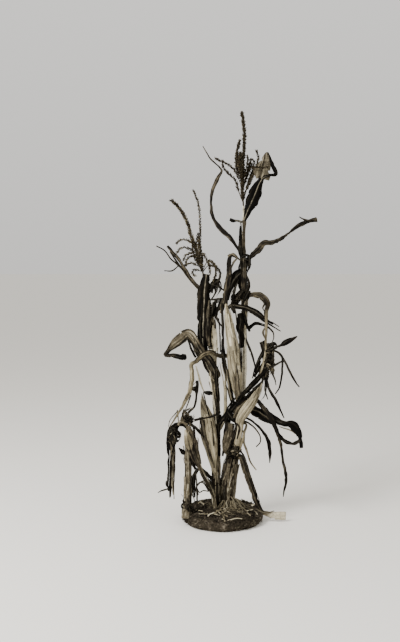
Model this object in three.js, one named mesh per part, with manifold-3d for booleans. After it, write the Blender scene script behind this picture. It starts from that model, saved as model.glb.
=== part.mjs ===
// A ripe, dry maize plant on its shallow root ball: two tasselled stalks, a broken side stem, a short
// tiller, four ears in their husks and the dry leaves that hang from them.
// Millimetres, +Z up. The origin is the middle of the root ball's flat underside; -Y faces the viewer.

import * as THREE from "three";
import { mergeVertices } from "three/addons/utils/BufferGeometryUtils.js";
import Module from "manifold-3d";

const wasm = await Module();
wasm.setup();

// Driving dimensions
const BALL_RADIUS = 163; // half the width of the root ball
const BALL_HEIGHT = 46; // height of its rim above the ground
const BALL_MOUND = 16; // how much higher the soil is around the stalks
const BALL_SIDES = 40; // facets round the ball
const CLEARANCE = 0.35; // air between two pieces that meet
const LEAST_THICK = 1.6; // thickness of the smallest leaf along its rib
const THICK_SHARE = 1 / 95; // thickness of a long leaf, as a share of its length
const EDGE_SHARE = 0.4; // thickness of a leaf's edge, as a share of its rib's
const LEAF_STEP = 34; // length of one facet along a leaf
const STALK_STEP = 60; // length of one facet along a stalk
const NODE_SPACING = 118; // distance between the joints of a stalk
const NODE_SWELL = 1.6; // how far a joint stands out of its stalk
const BRACE_ROOTS = 11; // brace roots round the foot of the main stalk
const BRACE_RADIUS = 3.2; // radius of one brace root
const BRACE_SPREAD = 76; // how far from the stalk a brace root enters the soil

// The upright plane through the stalks is the front elevation. Every x and z below is read on that plane,
// as seen from the eye, and y says how far in front of (-) or behind (+) the plane the point lies.
const EYE = { x: -90, z: 1000, distance: 3270 };

// Colours of the dry plant
const TONES = {
  straw: { color: 0xb9ac90, roughness: 0.8 },
  husk: { color: 0xc9bea3, roughness: 0.75 },
  grey: { color: 0x857b68, roughness: 0.85 },
  dark: { color: 0x3c372d, roughness: 0.85 },
  tassel: { color: 0x5d5443, roughness: 0.9 },
  soil: { color: 0x38312a, roughness: 1 },
};

/** Carries a point of the front elevation along its line of sight to its own depth. */
function sighted([x, y, z]) {
  const reach = 1 + y / EYE.distance;
  return new THREE.Vector3(EYE.x + (x - EYE.x) * reach, y, EYE.z + (z - EYE.z) * reach);
}

/** A smooth curve through front-elevation points. */
function curveThrough(points) {
  return new THREE.CatmullRomCurve3(points.map(sighted), false, "centripetal");
}

/** The value at share t of an evenly spaced list, or the number itself. */
function along(values, t) {
  if (typeof values === "number") return values;
  const place = THREE.MathUtils.clamp(t, 0, 1) * (values.length - 1);
  const index = Math.min(Math.floor(place), values.length - 2);
  return THREE.MathUtils.lerp(values[index], values[index + 1], place - index);
}

/** Across and outward directions of a blade at share t, turned about its run by `turn` degrees. */
function bladeFrame(curve, t, turn) {
  const run = curve.getTangentAt(t);
  const facing = new THREE.Vector3(0, -1, 0);
  const outward = facing.addScaledVector(run, -facing.dot(run)).normalize();
  const across = run.clone().cross(outward);
  const angle = THREE.MathUtils.degToRad(turn);
  return {
    run,
    across: across.clone().multiplyScalar(Math.cos(angle)).addScaledVector(outward, Math.sin(angle)),
    outward: outward.clone().multiplyScalar(Math.cos(angle)).addScaledVector(across, -Math.sin(angle)),
  };
}

/** Turns a closed geometry into a solid. */
function toSolid(geometry) {
  geometry.deleteAttribute("normal");
  geometry.deleteAttribute("uv");
  const merged = mergeVertices(geometry, 1e-4);
  const vertProperties = new Float32Array(merged.attributes.position.array);
  const triVerts = new Uint32Array(merged.index.array);
  return new wasm.Manifold(new wasm.Mesh({ numProp: 3, vertProperties, triVerts }));
}

/** Bends an upright box into a leaf blade along its route. `grow` makes it fatter on every side. */
function blade(leaf, grow = 0) {
  const curve = curveThrough(leaf.route);
  const length = curve.getLength();
  const thick = Math.max(length * THICK_SHARE, LEAST_THICK);
  const steps = Math.max(3, Math.round(length / LEAF_STEP));
  const geometry = new THREE.BoxGeometry(1, 1, 1, 2, 1, steps);
  const position = geometry.attributes.position;
  for (let i = 0; i < position.count; i += 1) {
    const t = position.getZ(i) + 0.5;
    const side = position.getX(i) * 2;
    const frame = bladeFrame(curve, t, along(leaf.turn ?? 0, t));
    const half = along(leaf.width, t) / 2;
    const rib = 1 - (1 - EDGE_SHARE) * Math.abs(side);
    const depth = position.getY(i) * (thick * rib + 2 * grow);
    const trough = Math.abs(side) * half * (leaf.trough ?? 0.25);
    const point = curve.getPointAt(t);
    point.addScaledVector(frame.across, -side * (half + grow));
    point.addScaledVector(frame.outward, depth - trough);
    point.addScaledVector(frame.run, (t < 1e-6 ? -grow : 0) + (t > 1 - 1e-6 ? grow : 0));
    position.setXYZ(i, point.x, point.y, point.z);
  }
  return toSolid(geometry);
}

/** Bends an upright cylinder into a stalk, ear or strand. `flat` squeezes its depth. */
function rod(piece, grow = 0) {
  const curve = curveThrough(piece.route);
  const steps = piece.steps ?? Math.max(3, Math.round(curve.getLength() / STALK_STEP));
  const geometry = new THREE.CylinderGeometry(1, 1, 1, piece.sides ?? 10, steps);
  const position = geometry.attributes.position;
  for (let i = 0; i < position.count; i += 1) {
    const t = position.getY(i) + 0.5;
    const frame = bladeFrame(curve, t, 0);
    const radius = piece.radius instanceof Function ? piece.radius(t) : along(piece.radius, t);
    const point = curve.getPointAt(t);
    point.addScaledVector(frame.across, position.getX(i) * (radius + grow));
    point.addScaledVector(frame.outward, position.getZ(i) * (radius * (piece.flat ?? 1) + grow));
    point.addScaledVector(frame.run, (t < 1e-6 ? -grow : 0) + (t > 1 - 1e-6 ? grow : 0));
    position.setXYZ(i, point.x, point.y, point.z);
  }
  return toSolid(geometry);
}

/** The largest body of a solid, without the scraps that a cut leaves. */
function largest(solid) {
  const bodies = solid.decompose();
  return bodies.reduce((best, body) => (body.volume() > best.volume() ? body : best));
}

/** The point of a stalk's route at a height read on the front elevation. */
function pointOnStalk(route, height) {
  const next = route.findIndex((point, index) => index > 0 && point[2] >= height);
  const [low, high] = [route[next - 1], route[next]];
  const share = (height - low[2]) / (high[2] - low[2]);
  return low.map((value, axis) => THREE.MathUtils.lerp(value, high[axis], share));
}

// Stalks: routes from the soil up, radii at even steps of their length
const STALKS = {
  stalk_main: {
    route: [
      [18, 4, 34], [20, 4, 90], [28, 4, 180], [48, 4, 290], [72, 2, 400],
      [88, 0, 560], [91, 0, 760], [90, 0, 950], [87, 0, 1100], [86, 0, 1272],
    ],
    radius: [22, 31, 28, 19, 12, 10.5, 10, 10, 9.5, 9, 12, 13, 9, 6, 5, 4.5],
    sides: 12,
    tone: "straw",
  },
  stalk_second: {
    route: [
      [-26, -14, 34], [-27, -12, 120], [-22, 4, 260], [-20, 16, 400], [-26, 22, 500],
      [-38, 24, 600], [-40, 20, 700], [-38, 16, 790], [-60, 10, 890], [-77, 6, 1000],
    ],
    radius: [16, 17, 15, 11, 11, 12, 13, 15, 16, 13, 9, 7, 5],
    sides: 10,
    tone: "straw",
  },
  stem_side: {
    route: [[-146, -74, 6], [-140, -66, 90], [-138, -58, 200], [-138, -52, 290], [-143, -48, 392]],
    radius: [17, 15, 11, 10.5, 10, 9, 5],
    sides: 10,
    tone: "grey",
  },
  stem_tiller: {
    route: [[-26, -44, 40], [-37, -52, 104], [-60, -66, 154], [-86, -76, 204], [-97, -80, 236]],
    radius: [7, 7, 7.5, 8, 9],
    sides: 8,
    steps: 5,
    tone: "grey",
  },
};

/** A stalk's radius with a swollen joint at even distances along it. */
function jointedRadius(radii, length) {
  return (t) => {
    const toJoint = Math.abs(((t * length) / NODE_SPACING + 0.5) % 1 - 0.5) * NODE_SPACING;
    return along(radii, t) + NODE_SWELL * Math.max(0, 1 - toJoint / STALK_STEP);
  };
}

/** One brace root: out of the stalk's foot, then down into the soil. */
function braceRoot(index) {
  const angle = (index / BRACE_ROOTS) * 2 * Math.PI + 0.5 * Math.sin(3 * index);
  const reach = BRACE_SPREAD * (0.8 + 0.3 * Math.sin(5 * index + 1));
  const [footX, footY] = STALKS.stalk_main.route[1];
  const at = (share, z) => {
    const out = reach * share;
    return [footX + Math.cos(angle) * out, footY + Math.sin(angle) * out, z];
  };
  const top = 92 + 10 * Math.sin(7 * index);
  return { route: [at(0.15, top), at(0.55, top - 10), at(1, 44)], radius: BRACE_RADIUS, sides: 5, steps: 4 };
}

/** The root ball: a flat cake of soil with a low mound, its rim slightly uneven. */
function rootBall(grow = 0) {
  const profile = [
    [0, -grow],
    [BALL_RADIUS * 0.93 + grow, -grow],
    [BALL_RADIUS + grow, BALL_HEIGHT * 0.35],
    [BALL_RADIUS * 0.98 + grow, BALL_HEIGHT * 0.75],
    [BALL_RADIUS * 0.9 + grow * 0.7, BALL_HEIGHT + grow * 0.7],
    [BALL_RADIUS * 0.55, BALL_HEIGHT + BALL_MOUND * 0.35 + grow],
    [BALL_RADIUS * 0.25, BALL_HEIGHT + BALL_MOUND * 0.9 + grow],
    [0, BALL_HEIGHT + BALL_MOUND + grow],
  ].map(([x, y]) => new THREE.Vector2(x, y));
  const geometry = new THREE.LatheGeometry(profile, BALL_SIDES);
  geometry.rotateX(Math.PI / 2);
  const position = geometry.attributes.position;
  for (let i = 0; i < position.count; i += 1) {
    const point = new THREE.Vector3().fromBufferAttribute(position, i);
    const angle = Math.atan2(point.y, point.x);
    const wave = 1 + 0.02 * Math.sin(3 * angle + 1) + 0.012 * Math.sin(7 * angle);
    position.setXYZ(i, point.x * wave, point.y * wave, point.z);
  }
  return toSolid(geometry);
}

// Ears in their husks: routes from the shank to the tip, radii at even steps
const EARS = {
  ear_long: {
    on: ["stalk_main", 440],
    route: [[72, -22, 474], [64, -32, 515], [55, -44, 590], [46, -48, 670], [32, -46, 770], [17, -40, 876]],
    radius: [7, 10, 19, 26, 26, 23, 19, 14, 6],
    flat: 0.75,
    tone: "husk",
  },
  ear_left_wedge: {
    on: ["stalk_second", 168],
    route: [[-34, -22, 215], [-45, -30, 300], [-56, -32, 360], [-62, -34, 410], [-76, -34, 460],
      [-83, -32, 514]],
    radius: [5, 9, 20, 29, 32, 24, 13, 3],
    flat: 0.55,
    tone: "husk",
  },
  ear_slant: {
    on: ["stalk_main", 292],
    route: [[60, -30, 308], [63, -38, 336], [70, -46, 372], [73, -52, 407], [92, -60, 440],
      [114, -66, 470], [135, -70, 502], [153, -74, 535], [164, -76, 558]],
    radius: [9, 15, 15, 13, 17, 21, 20, 16, 11, 4],
    flat: 0.8,
    tone: "husk",
  },
  ear_tiller: {
    on: ["stem_tiller", 226],
    route: [[-104, -82, 256], [-117, -84, 282], [-125, -84, 312], [-132, -84, 345], [-138, -82, 382]],
    radius: [9, 15, 23, 26, 21, 8],
    flat: 0.8,
    tone: "grey",
  },
  husk_stub: {
    on: ["stalk_main", 262],
    route: [[18, -36, 286], [21, -44, 320], [31, -46, 358], [37, -44, 392]],
    radius: [7, 12, 16, 18, 17, 15],
    flat: 0.4,
    tone: "grey",
  },
};

// Tassels: the spike and its branches, each from where it leaves the stalk to its tip
const TASSELS = {
  tassel_main: {
    radius: [4, 5, 5.5, 5, 4, 2],
    branchRadius: [3, 3.4, 3, 2],
    spike: [[86, 0, 1268], [81, 0, 1377], [88, 0, 1498], [89, -4, 1580], [79, -8, 1652]],
    branches: [
      [[83, 0, 1290], [65, 10, 1336], [53, 20, 1377], [24, 34, 1405], [4, 42, 1430], [2, 44, 1456]],
      [[82, 0, 1340], [65, -10, 1385], [49, -20, 1418], [24, -30, 1440], [0, -36, 1452], [-30, -40, 1466]],
      [[82, 0, 1360], [62, 24, 1418], [57, 36, 1466], [65, 44, 1511], [71, 48, 1539]],
      [[85, 0, 1296], [105, 16, 1357], [122, 34, 1409], [134, 44, 1420], [190, 60, 1424]],
      [[86, 0, 1296], [110, 2, 1377], [126, 6, 1426], [126, 10, 1458], [113, 12, 1462]],
      [[84, 0, 1316], [118, -14, 1377], [138, -28, 1434], [146, -36, 1466], [138, -40, 1498]],
      [[83, 0, 1330], [96, 24, 1380], [108, 50, 1430], [118, 66, 1462]],
      [[84, 0, 1345], [76, -24, 1400], [70, -46, 1450], [74, -60, 1490]],
      [[84, 0, 1370], [98, -20, 1420], [104, -38, 1458], [100, -48, 1478]],
      [[86, 0, 1400], [80, 14, 1450], [74, 22, 1490]],
    ],
  },
  tassel_second: {
    radius: [5, 5.5, 5, 4.5, 3.5, 2],
    branchRadius: [2.8, 3, 2.6, 2],
    spike: [
      [-77, 6, 996], [-93, 2, 1061], [-113, -4, 1114], [-130, -8, 1166],
      [-140, -12, 1200], [-158, -16, 1239], [-178, -20, 1268], [-207, -26, 1296],
    ],
    branches: [
      [[-78, 6, 1010], [-89, 16, 1060], [-89, 24, 1195], [-93, 28, 1256], [-101, 34, 1296], [-117, 40, 1336]],
      [[-104, 0, 1085], [-104, 14, 1120], [-97, 24, 1162]],
      [[-110, -2, 1105], [-134, 6, 1130], [-154, 14, 1136], [-174, 20, 1132], [-186, 24, 1118]],
      [[-103, 0, 1080], [-130, -16, 1097], [-154, -28, 1105], [-170, -36, 1099], [-186, -42, 1081]],
      [[-100, 0, 1066], [-122, 18, 1082], [-138, 34, 1078], [-150, 46, 1069], [-158, 52, 1049]],
      [[-92, 2, 1050], [-112, -18, 1069], [-130, -30, 1066], [-142, -38, 1057], [-150, -42, 1033]],
      [[-84, 4, 1020], [-105, 20, 1033], [-130, 40, 1041], [-154, 54, 1025]],
      [[-80, 6, 1006], [-101, -8, 1012], [-117, -14, 1012], [-119, -16, 996], [-105, -16, 988]],
      [[-79, 6, 1012], [-57, 0, 1049], [-36, -8, 1041], [-25, -12, 1020], [-25, -14, 996], [-37, -14, 968]],
      [[-86, 4, 1040], [-75, -12, 1077], [-65, -28, 1057], [-53, -40, 1033], [-49, -44, 992]],
      [[-79, 6, 1004], [-56, 24, 1030], [-20, 44, 1022], [-8, 50, 996], [-14, 52, 972], [-26, 54, 956]],
    ],
  },
};

// Leaves: routes from the stalk to the tip, widths and turns at even steps of their length
const LEAVES = {
  leaf_flag: {
    on: ["stalk_main", 1207],
    route: [[99, -14, 1245], [128, -28, 1310], [160, -42, 1380], [192, -48, 1397], [218, -48, 1401],
      [203, -42, 1438], [184, -36, 1490]],
    width: [12, 32, 50, 54, 28, 9, 15, 16, 5],
    turn: [20, 10, 0, -10, 0, 0, 10, 20],
    tone: "dark",
    also: [
      {
        route: [[82, -8, 1207], [60, -12, 1212], [44, -14, 1212], [30, -15, 1217]],
        width: [7, 8, 8, 15, 12],
      },
      { route: [[160, -42, 1382], [169, -42, 1425], [181, -38, 1490]], width: [50, 76, 60, 34, 7], turn: 0 },
    ],
  },
  leaf_upper_left: {
    on: ["stalk_main", 1058],
    route: [[32, 14, 1142], [-12, 34, 1180], [-40, 50, 1235], [-46, 62, 1296], [-36, 70, 1345],
      [-20, 72, 1385], [-2, 68, 1415], [-12, 66, 1429], [-49, 74, 1466], [-79, 84, 1515]],
    width: [8, 10, 12, 17, 25, 21, 13, 15, 10, 12, 15, 17, 10, 6, 6, 5, 3],
    turn: [30, 20, 30, 10, 0, 10, 20],
    tone: "grey",
  },
  leaf_sliver: {
    on: ["stalk_main", 1046],
    route: [[70, -16, 1090], [74, -22, 1140], [77, -24, 1192]],
    width: [9, 13, 11, 12, 4],
    tone: "dark",
  },
  leaf_upper_right: {
    on: ["stalk_main", 1048],
    route: [[122, 16, 1076], [146, 30, 1098], [170, 42, 1122], [202, 56, 1127], [235, 70, 1140],
      [288, 90, 1179], [320, 102, 1200], [350, 112, 1211], [385, 122, 1219]],
    width: [12, 21, 25, 26, 22, 20, 18, 13, 16, 20, 17, 22],
    turn: [40, 30, 20, 30, 40, 20, 0],
    tone: "grey",
    also: [{ route: [[352, 112, 1210], [330, 96, 1218], [312, 88, 1228]], width: [10, 8, 3] }],
  },
  sheath_high: {
    on: ["stalk_main", 908],
    route: [[82, -19, 940], [86, -20, 1000], [92, -19, 1058], [92, -20, 1068]],
    width: [16, 34, 38, 42, 30],
    trough: 0.45,
    tone: "dark",
  },
  leaf_back_high: {
    on: ["stalk_main", 610],
    route: [[60, 60, 690], [44, 120, 720], [34, 180, 690], [30, 216, 620], [30, 226, 545]],
    width: [12, 30, 42, 42, 34, 22, 6],
    turn: [60, 80, 90, 70, 40],
    tone: "grey",
  },
  leaf_back_left: {
    on: ["stalk_second", 700],
    route: [[-48, 64, 790], [-62, 120, 850], [-73, 172, 870], [-77, 212, 820], [-74, 226, 750]],
    width: [12, 28, 38, 38, 30, 18, 6],
    turn: [60, 80, 90, 70, 40],
    tone: "dark",
  },
  leaf_back_low: {
    on: ["stalk_second", 300],
    route: [[-42, 70, 380], [-56, 124, 436], [-64, 172, 430], [-63, 200, 360], [-58, 208, 300]],
    width: [12, 28, 36, 34, 26, 16, 6],
    turn: [60, 80, 90, 70, 40],
    tone: "straw",
  },
  husk_folded: {
    on: ["ear_long", 868],
    route: [[12, -44, 912], [20, -44, 950], [27, -42, 1000], [27, -38, 1048], [36, -34, 1073],
      [52, -32, 1068], [64, -32, 1060]],
    width: [9, 20, 25, 25, 24, 22, 18, 14, 7],
    turn: [0, 10, 20, 10, 0],
    tone: "grey",
  },
  leaf_dark_high: {
    on: ["stalk_main", 1012],
    route: [[60, -24, 1000], [42, -32, 946], [26, -36, 904]],
    width: [12, 30, 26, 6],
    turn: 10,
    tone: "dark",
  },
  leaf_arch_right: {
    on: ["stalk_main", 918],
    route: [[113, -26, 920], [142, -60, 914], [167, -88, 900], [183, -102, 878], [180, -108, 845],
      [179, -110, 749], [176, -108, 680], [166, -104, 628], [154, -100, 590]],
    width: [10, 28, 30, 26, 20, 14, 11, 10, 10, 9, 6],
    turn: [50, 40, 30, 10, 20, 30, 20, 0],
    tone: "straw",
  },
  leaf_mid_right: {
    on: ["ear_long", 858],
    route: [[38, -56, 870], [73, -58, 865], [113, -62, 855], [142, -70, 838], [166, -78, 818],
      [194, -88, 798], [239, -102, 768]],
    width: [10, 18, 24, 28, 26, 22, 18, 12],
    turn: [20, 30, 30, 20, 0],
    tone: "dark",
  },
  leaf_hook_right: {
    on: ["stalk_main", 792],
    route: [[106, 18, 780], [134, 50, 797], [162, 78, 792], [186, 98, 782], [207, 112, 762], [211, 118, 737],
      [202, 120, 714]],
    width: [9, 16, 12, 11, 10, 9, 8, 4],
    turn: 20,
    tone: "dark",
  },
  leaf_beside_ear: {
    on: ["stalk_main", 690],
    route: [[80, -16, 722], [74, -24, 765], [58, -14, 818]],
    width: [9, 22, 20, 7],
    turn: 15,
    tone: "dark",
  },
  twig_right: {
    on: ["stalk_main", 744],
    route: [[103, -22, 716], [122, -36, 668], [134, -48, 620], [138, -52, 594]],
    width: [7, 10, 9, 7, 5],
    tone: "dark",
  },
  leaf_upright: {
    on: ["stalk_second", 568],
    route: [[-60, 6, 622], [-76, -2, 680], [-79, -10, 760], [-76, -18, 840], [-73, -22, 900], [-70, -24, 950],
      [-64, -24, 996]],
    width: [13, 26, 30, 38, 52, 54, 52, 38],
    turn: [0, 10, 20, 10, -10, 0],
    tone: "dark",
  },
  leaf_left_high: {
    on: ["stalk_second", 936],
    route: [[-101, 20, 946], [-130, 34, 978], [-150, 42, 1012], [-170, 50, 1045], [-202, 58, 1085],
      [-223, 62, 1110]],
    width: [8, 16, 17, 16, 14, 13, 11],
    turn: 25,
    tone: "grey",
  },
  thread_left_high: {
    on: ["stalk_second", 905],
    route: [[-110, -20, 950], [-140, -34, 985], [-166, -46, 1020], [-207, -60, 1057], [-235, -70, 1093],
      [-267, -78, 1110]],
    width: [6, 7, 6, 6, 5, 4],
    tone: "tassel",
  },
  leaf_knot: {
    on: ["stalk_second", 912],
    route: [[-45, -6, 946], [-24, -12, 965], [-14, -14, 940], [-26, -12, 908]],
    width: [10, 20, 27, 25, 10],
    tone: "dark",
  },
  leaf_bar: {
    on: ["stalk_second", 812],
    route: [[-34, -8, 852], [-26, -12, 884], [-6, -14, 892], [8, -16, 893]],
    width: [12, 24, 22, 12, 7],
    tone: "dark",
  },
  leaf_left_bent: {
    on: ["stalk_second", 548],
    route: [[-28, -8, 595], [-53, -34, 640], [-77, -46, 668], [-101, -58, 709], [-122, -70, 742],
      [-138, -78, 754], [-166, -94, 736], [-194, -108, 713], [-215, -114, 690], [-232, -120, 670],
      [-202, -116, 667], [-170, -108, 660], [-146, -102, 656]],
    width: [13, 34, 38, 36, 34, 36, 38, 40, 44, 42, 20, 14, 20, 17],
    turn: [10, 20, 30, 20, 10, 0, 10, 20, 10, 0],
    tone: "grey",
  },
  leaf_left_hanging: {
    on: ["stalk_main", 656],
    route: [[45, -10, 664], [0, -34, 664], [-28, -56, 667], [-50, -72, 677], [-77, -82, 666],
      [-106, -88, 641], [-123, -92, 628], [-121, -94, 600], [-124, -96, 559], [-136, -98, 506],
      [-172, -102, 441], [-213, -106, 377]],
    width: [9, 14, 17, 17, 20, 21, 18, 17, 18, 18, 15, 10, 7, 4],
    turn: [0, 10, 10, 20, 30, 20, 10, 20, 10, 0],
    tone: "straw",
  },
  leaf_mid_left: {
    on: ["stalk_main", 452],
    route: [[56, -12, 464], [40, -22, 492], [30, -28, 540], [20, -30, 590], [7, -30, 645], [2, -24, 770]],
    width: [8, 12, 14, 16, 18, 18, 14, 5],
    tone: "dark",
  },
  strip_pale: {
    on: ["stalk_second", 352],
    route: [[4, 6, 392], [12, 2, 440], [13, 0, 500], [8, -4, 580], [-4, -10, 638]],
    width: [9, 13, 14, 13, 12, 6],
    tone: "husk",
  },
  strip_dark: {
    on: ["stalk_second", 244],
    route: [[-14, -14, 290], [-16, -14, 340], [-18, -12, 410]],
    width: [9, 14, 14, 8],
    tone: "dark",
  },
  leaf_crossing: {
    on: ["stalk_second", 432],
    route: [[-10, -18, 436], [-22, -48, 426], [-50, -62, 415], [-89, -66, 409], [-125, -64, 402],
      [-156, -60, 394]],
    width: [8, 9, 10, 10, 9, 7, 4],
    turn: [60, 40, 0],
    tone: "dark",
  },
  leaf_ear_slant: {
    on: ["stalk_second", 378],
    route: [[-4, -26, 402], [20, -46, 428], [45, -54, 455], [70, -56, 488], [93, -58, 516], [113, -60, 538],
      [140, -62, 572], [162, -66, 599], [190, -70, 616], [216, -74, 629], [243, -78, 645]],
    width: [10, 18, 22, 20, 18, 20, 21, 18, 14, 10, 8, 5],
    turn: [30, 10, 0, 0, 10, 20],
    tone: "dark",
  },
  leaf_low_right: {
    on: ["stalk_main", 448],
    route: [[116, -20, 452], [146, -36, 437], [186, -58, 417], [219, -76, 403], [247, -90, 391],
      [275, -102, 388], [297, -110, 374], [310, -114, 354], [318, -118, 325], [321, -120, 292]],
    width: [13, 30, 42, 44, 50, 36, 23, 20, 38, 26, 17, 14],
    turn: [10, 20, 30, 20, 10, 0, 10, 0],
    tone: "dark",
    also: [
      { route: [[316, -119, 322], [284, -122, 309], [256, -120, 318], [234, -116, 340], [223, -112, 362]],
        width: [10, 13, 12, 9, 4] },
    ],
  },
  leaf_long_hanging: {
    on: ["stalk_main", 500],
    route: [[115, -22, 495], [142, -48, 484], [166, -74, 458], [194, -92, 421], [214, -98, 381],
      [227, -96, 344], [239, -88, 304], [244, -80, 263], [251, -70, 223], [259, -60, 182], [259, -50, 150],
      [251, -42, 120], [247, -36, 94]],
    width: [8, 15, 17, 20, 20, 17, 15, 13, 12, 13, 15, 10, 3],
    turn: [10, 20, 10, 20, 30, 20, 0],
    tone: "grey",
  },
  leaf_spindle_low: {
    on: ["stalk_main", 424],
    route: [[105, 4, 410], [124, 10, 400], [146, 16, 381], [170, 22, 356], [186, 26, 324], [194, 28, 284],
      [192, 28, 231]],
    width: [7, 8, 9, 12, 14, 17, 15, 3],
    turn: 20,
    tone: "dark",
  },
  thread_low_right: {
    on: ["stalk_main", 398],
    route: [[100, -16, 396], [138, -34, 365], [154, -42, 336], [154, -44, 316], [138, -42, 296]],
    width: [6, 7, 6, 5, 4],
    tone: "tassel",
  },
  blade_crossing_a: {
    on: ["stalk_main", 388],
    route: [[97, -26, 388], [92, -44, 360], [82, -50, 322], [73, -50, 284]],
    width: [6, 9, 12, 11, 5],
    tone: "straw",
  },
  blade_crossing_b: {
    on: ["stalk_main", 372],
    route: [[88, -18, 352], [88, -26, 318], [101, -30, 275], [117, -32, 231], [138, -34, 202]],
    width: [6, 8, 9, 7, 4],
    tone: "straw",
  },
  clump_right: {
    on: ["ear_slant", 552],
    route: [[172, -84, 590], [186, -88, 640], [200, -90, 690], [212, -90, 714], [222, -88, 702]],
    width: [6, 26, 40, 38, 34, 26, 12],
    turn: [10, 0, -20, 10, 30],
    tone: "dark",
    also: [
      { route: [[186, -87, 640], [174, -84, 680], [160, -80, 714]], width: [10, 16, 30] },
      { route: [[184, -87, 655], [150, -84, 612], [122, -80, 575]], width: [10, 14, 6] },
      { route: [[178, -85, 600], [172, -86, 506], [156, -86, 478]], width: [14, 9, 4] },
    ],
  },
  leaf_spindle_right: {
    on: ["clump_right", 700],
    route: [[239, -98, 709], [259, -104, 724], [284, -112, 734], [304, -118, 745]],
    width: [7, 10, 24, 20, 4],
    turn: 20,
    tone: "dark",
  },
  threads_right: {
    on: ["clump_right", 690],
    route: [[230, -78, 676], [243, -76, 660], [243, -72, 608], [239, -70, 567], [231, -68, 535],
      [215, -66, 510]],
    width: [7, 9, 9, 8, 8, 7, 4],
    tone: "dark",
    also: [{ route: [[241, -76, 664], [256, -84, 638], [275, -92, 599], [292, -98, 567], [312, -104, 539]],
      width: [8, 8, 9, 8, 4] }],
  },
  leaf_clump_low: {
    on: ["clump_right", 590],
    route: [[194, -94, 526], [211, -98, 498], [231, -102, 458], [251, -106, 413]],
    width: [8, 12, 13, 11, 4],
    turn: 20,
    tone: "dark",
  },
  leaf_base_right: {
    on: ["stalk_main", 268],
    route: [[76, -40, 251], [96, -50, 202], [114, -52, 148], [130, -48, 98], [146, -44, 60],
      [166, -40, 30], [192, -34, 22], [226, -30, 17], [258, -28, 16]],
    width: [12, 20, 25, 27, 27, 26, 24, 20, 14, 22, 32, 32],
    turn: [10, 10, 0, 10, 20, 10, 0, 0],
    trough: 0.04,
    tone: "grey",
  },
  leaf_tiller_dark: {
    on: ["stalk_second", 158],
    route: [[-50, -24, 178], [-81, -32, 204], [-106, -34, 216], [-122, -32, 262]],
    width: [7, 9, 12, 24, 8],
    tone: "dark",
  },
  leaf_low_left: {
    on: ["stem_tiller", 214],
    route: [[-112, -68, 182], [-117, -64, 140], [-112, -58, 96], [-108, -54, 70]],
    width: [8, 16, 22, 20, 10],
    turn: 10,
    tone: "dark",
  },
  thread_low_left: {
    on: ["stem_tiller", 112],
    route: [[-50, -82, 132], [-77, -90, 158], [-104, -86, 132], [-96, -80, 102]],
    width: [5, 5, 5, 4],
    tone: "tassel",
  },
  clump_left: {
    on: ["stem_side", 384],
    route: [[-156, -64, 410], [-144, -68, 438], [-124, -66, 454]],
    width: [14, 44, 40, 14],
    tone: "grey",
    also: [
      { route: [[-150, -64, 405], [-128, -68, 400], [-114, -70, 428]], width: [12, 20, 10] },
      {
        route: [[-136, -68, 436], [-112, -68, 462], [-105, -66, 500], [-107, -64, 526], [-119, -62, 534],
          [-104, -62, 558]],
        width: [10, 7, 7, 8, 14, 11],
      },
    ],
  },
  leaf_hanging_left: {
    on: ["stem_side", 372],
    route: [[-164, -38, 388], [-188, -30, 381], [-204, -24, 350], [-207, -22, 300], [-211, -22, 240],
      [-215, -22, 182], [-213, -22, 126], [-210, -22, 90]],
    width: [9, 22, 40, 34, 22, 19, 20, 19, 13],
    turn: [10, 20, 10, 0, 20],
    tone: "dark",
    also: [{ route: [[-200, -26, 360], [-196, -24, 290], [-198, -22, 200], [-199, -20, 140], [-196, -20, 86]],
      width: [20, 18, 16, 17, 15, 11] }],
  },
  flap_side_stem: {
    on: ["stem_side", 262],
    route: [[-162, -64, 278], [-176, -66, 292]],
    width: [8, 22, 4],
    tone: "dark",
  },
  leaf_short_left: {
    on: ["clump_left", 400],
    route: [[-106, -84, 372], [-90, -80, 352], [-73, -74, 336]],
    width: [6, 12, 12, 5],
    tone: "dark",
  },
};

const routes = {};
const fattened = {};
const plant = new THREE.Group();
plant.name = "maize_plant";

/** Adds a solid to the plant as a named mesh. */
function addMesh(name, solid, tone) {
  const shape = solid.getMesh();
  const geometry = new THREE.BufferGeometry();
  geometry.setAttribute("position", new THREE.BufferAttribute(shape.vertProperties, 3));
  geometry.setIndex(new THREE.BufferAttribute(shape.triVerts, 1));
  geometry.computeVertexNormals();
  const mesh = new THREE.Mesh(geometry, new THREE.MeshStandardMaterial({ ...TONES[tone], metalness: 0 }));
  mesh.name = name;
  plant.add(mesh);
}

/** Cuts a solid clear of every piece before it, and adds it. */
function place(name, solid, fat, tone) {
  const bounds = solid.boundingBox();
  const near = Object.values(fattened).filter(({ box }) =>
    bounds.min.every((low, axis) => low < box.max[axis] && bounds.max[axis] > box.min[axis]));
  const cut = near.reduce((rest, { solid: other }) => rest.subtract(other), solid);
  addMesh(name, largest(cut), tone);
  fattened[name] = { solid: fat, box: fat.boundingBox() };
}

/** The joined solid of a piece and the parts listed in its `also`. */
function joined(make, piece, grow) {
  const parts = (piece.also ?? []).map((part) => make({ ...piece, ...part }, grow));
  return parts.reduce((whole, part) => whole.add(part), make(piece, grow));
}

/** A piece whose route starts inside what carries it. */
function rooted(piece) {
  const [carrier, height] = piece.on;
  return { ...piece, route: [pointOnStalk(routes[carrier], height), ...piece.route] };
}

place("root_ball", rootBall(), rootBall(CLEARANCE), "soil");

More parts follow.
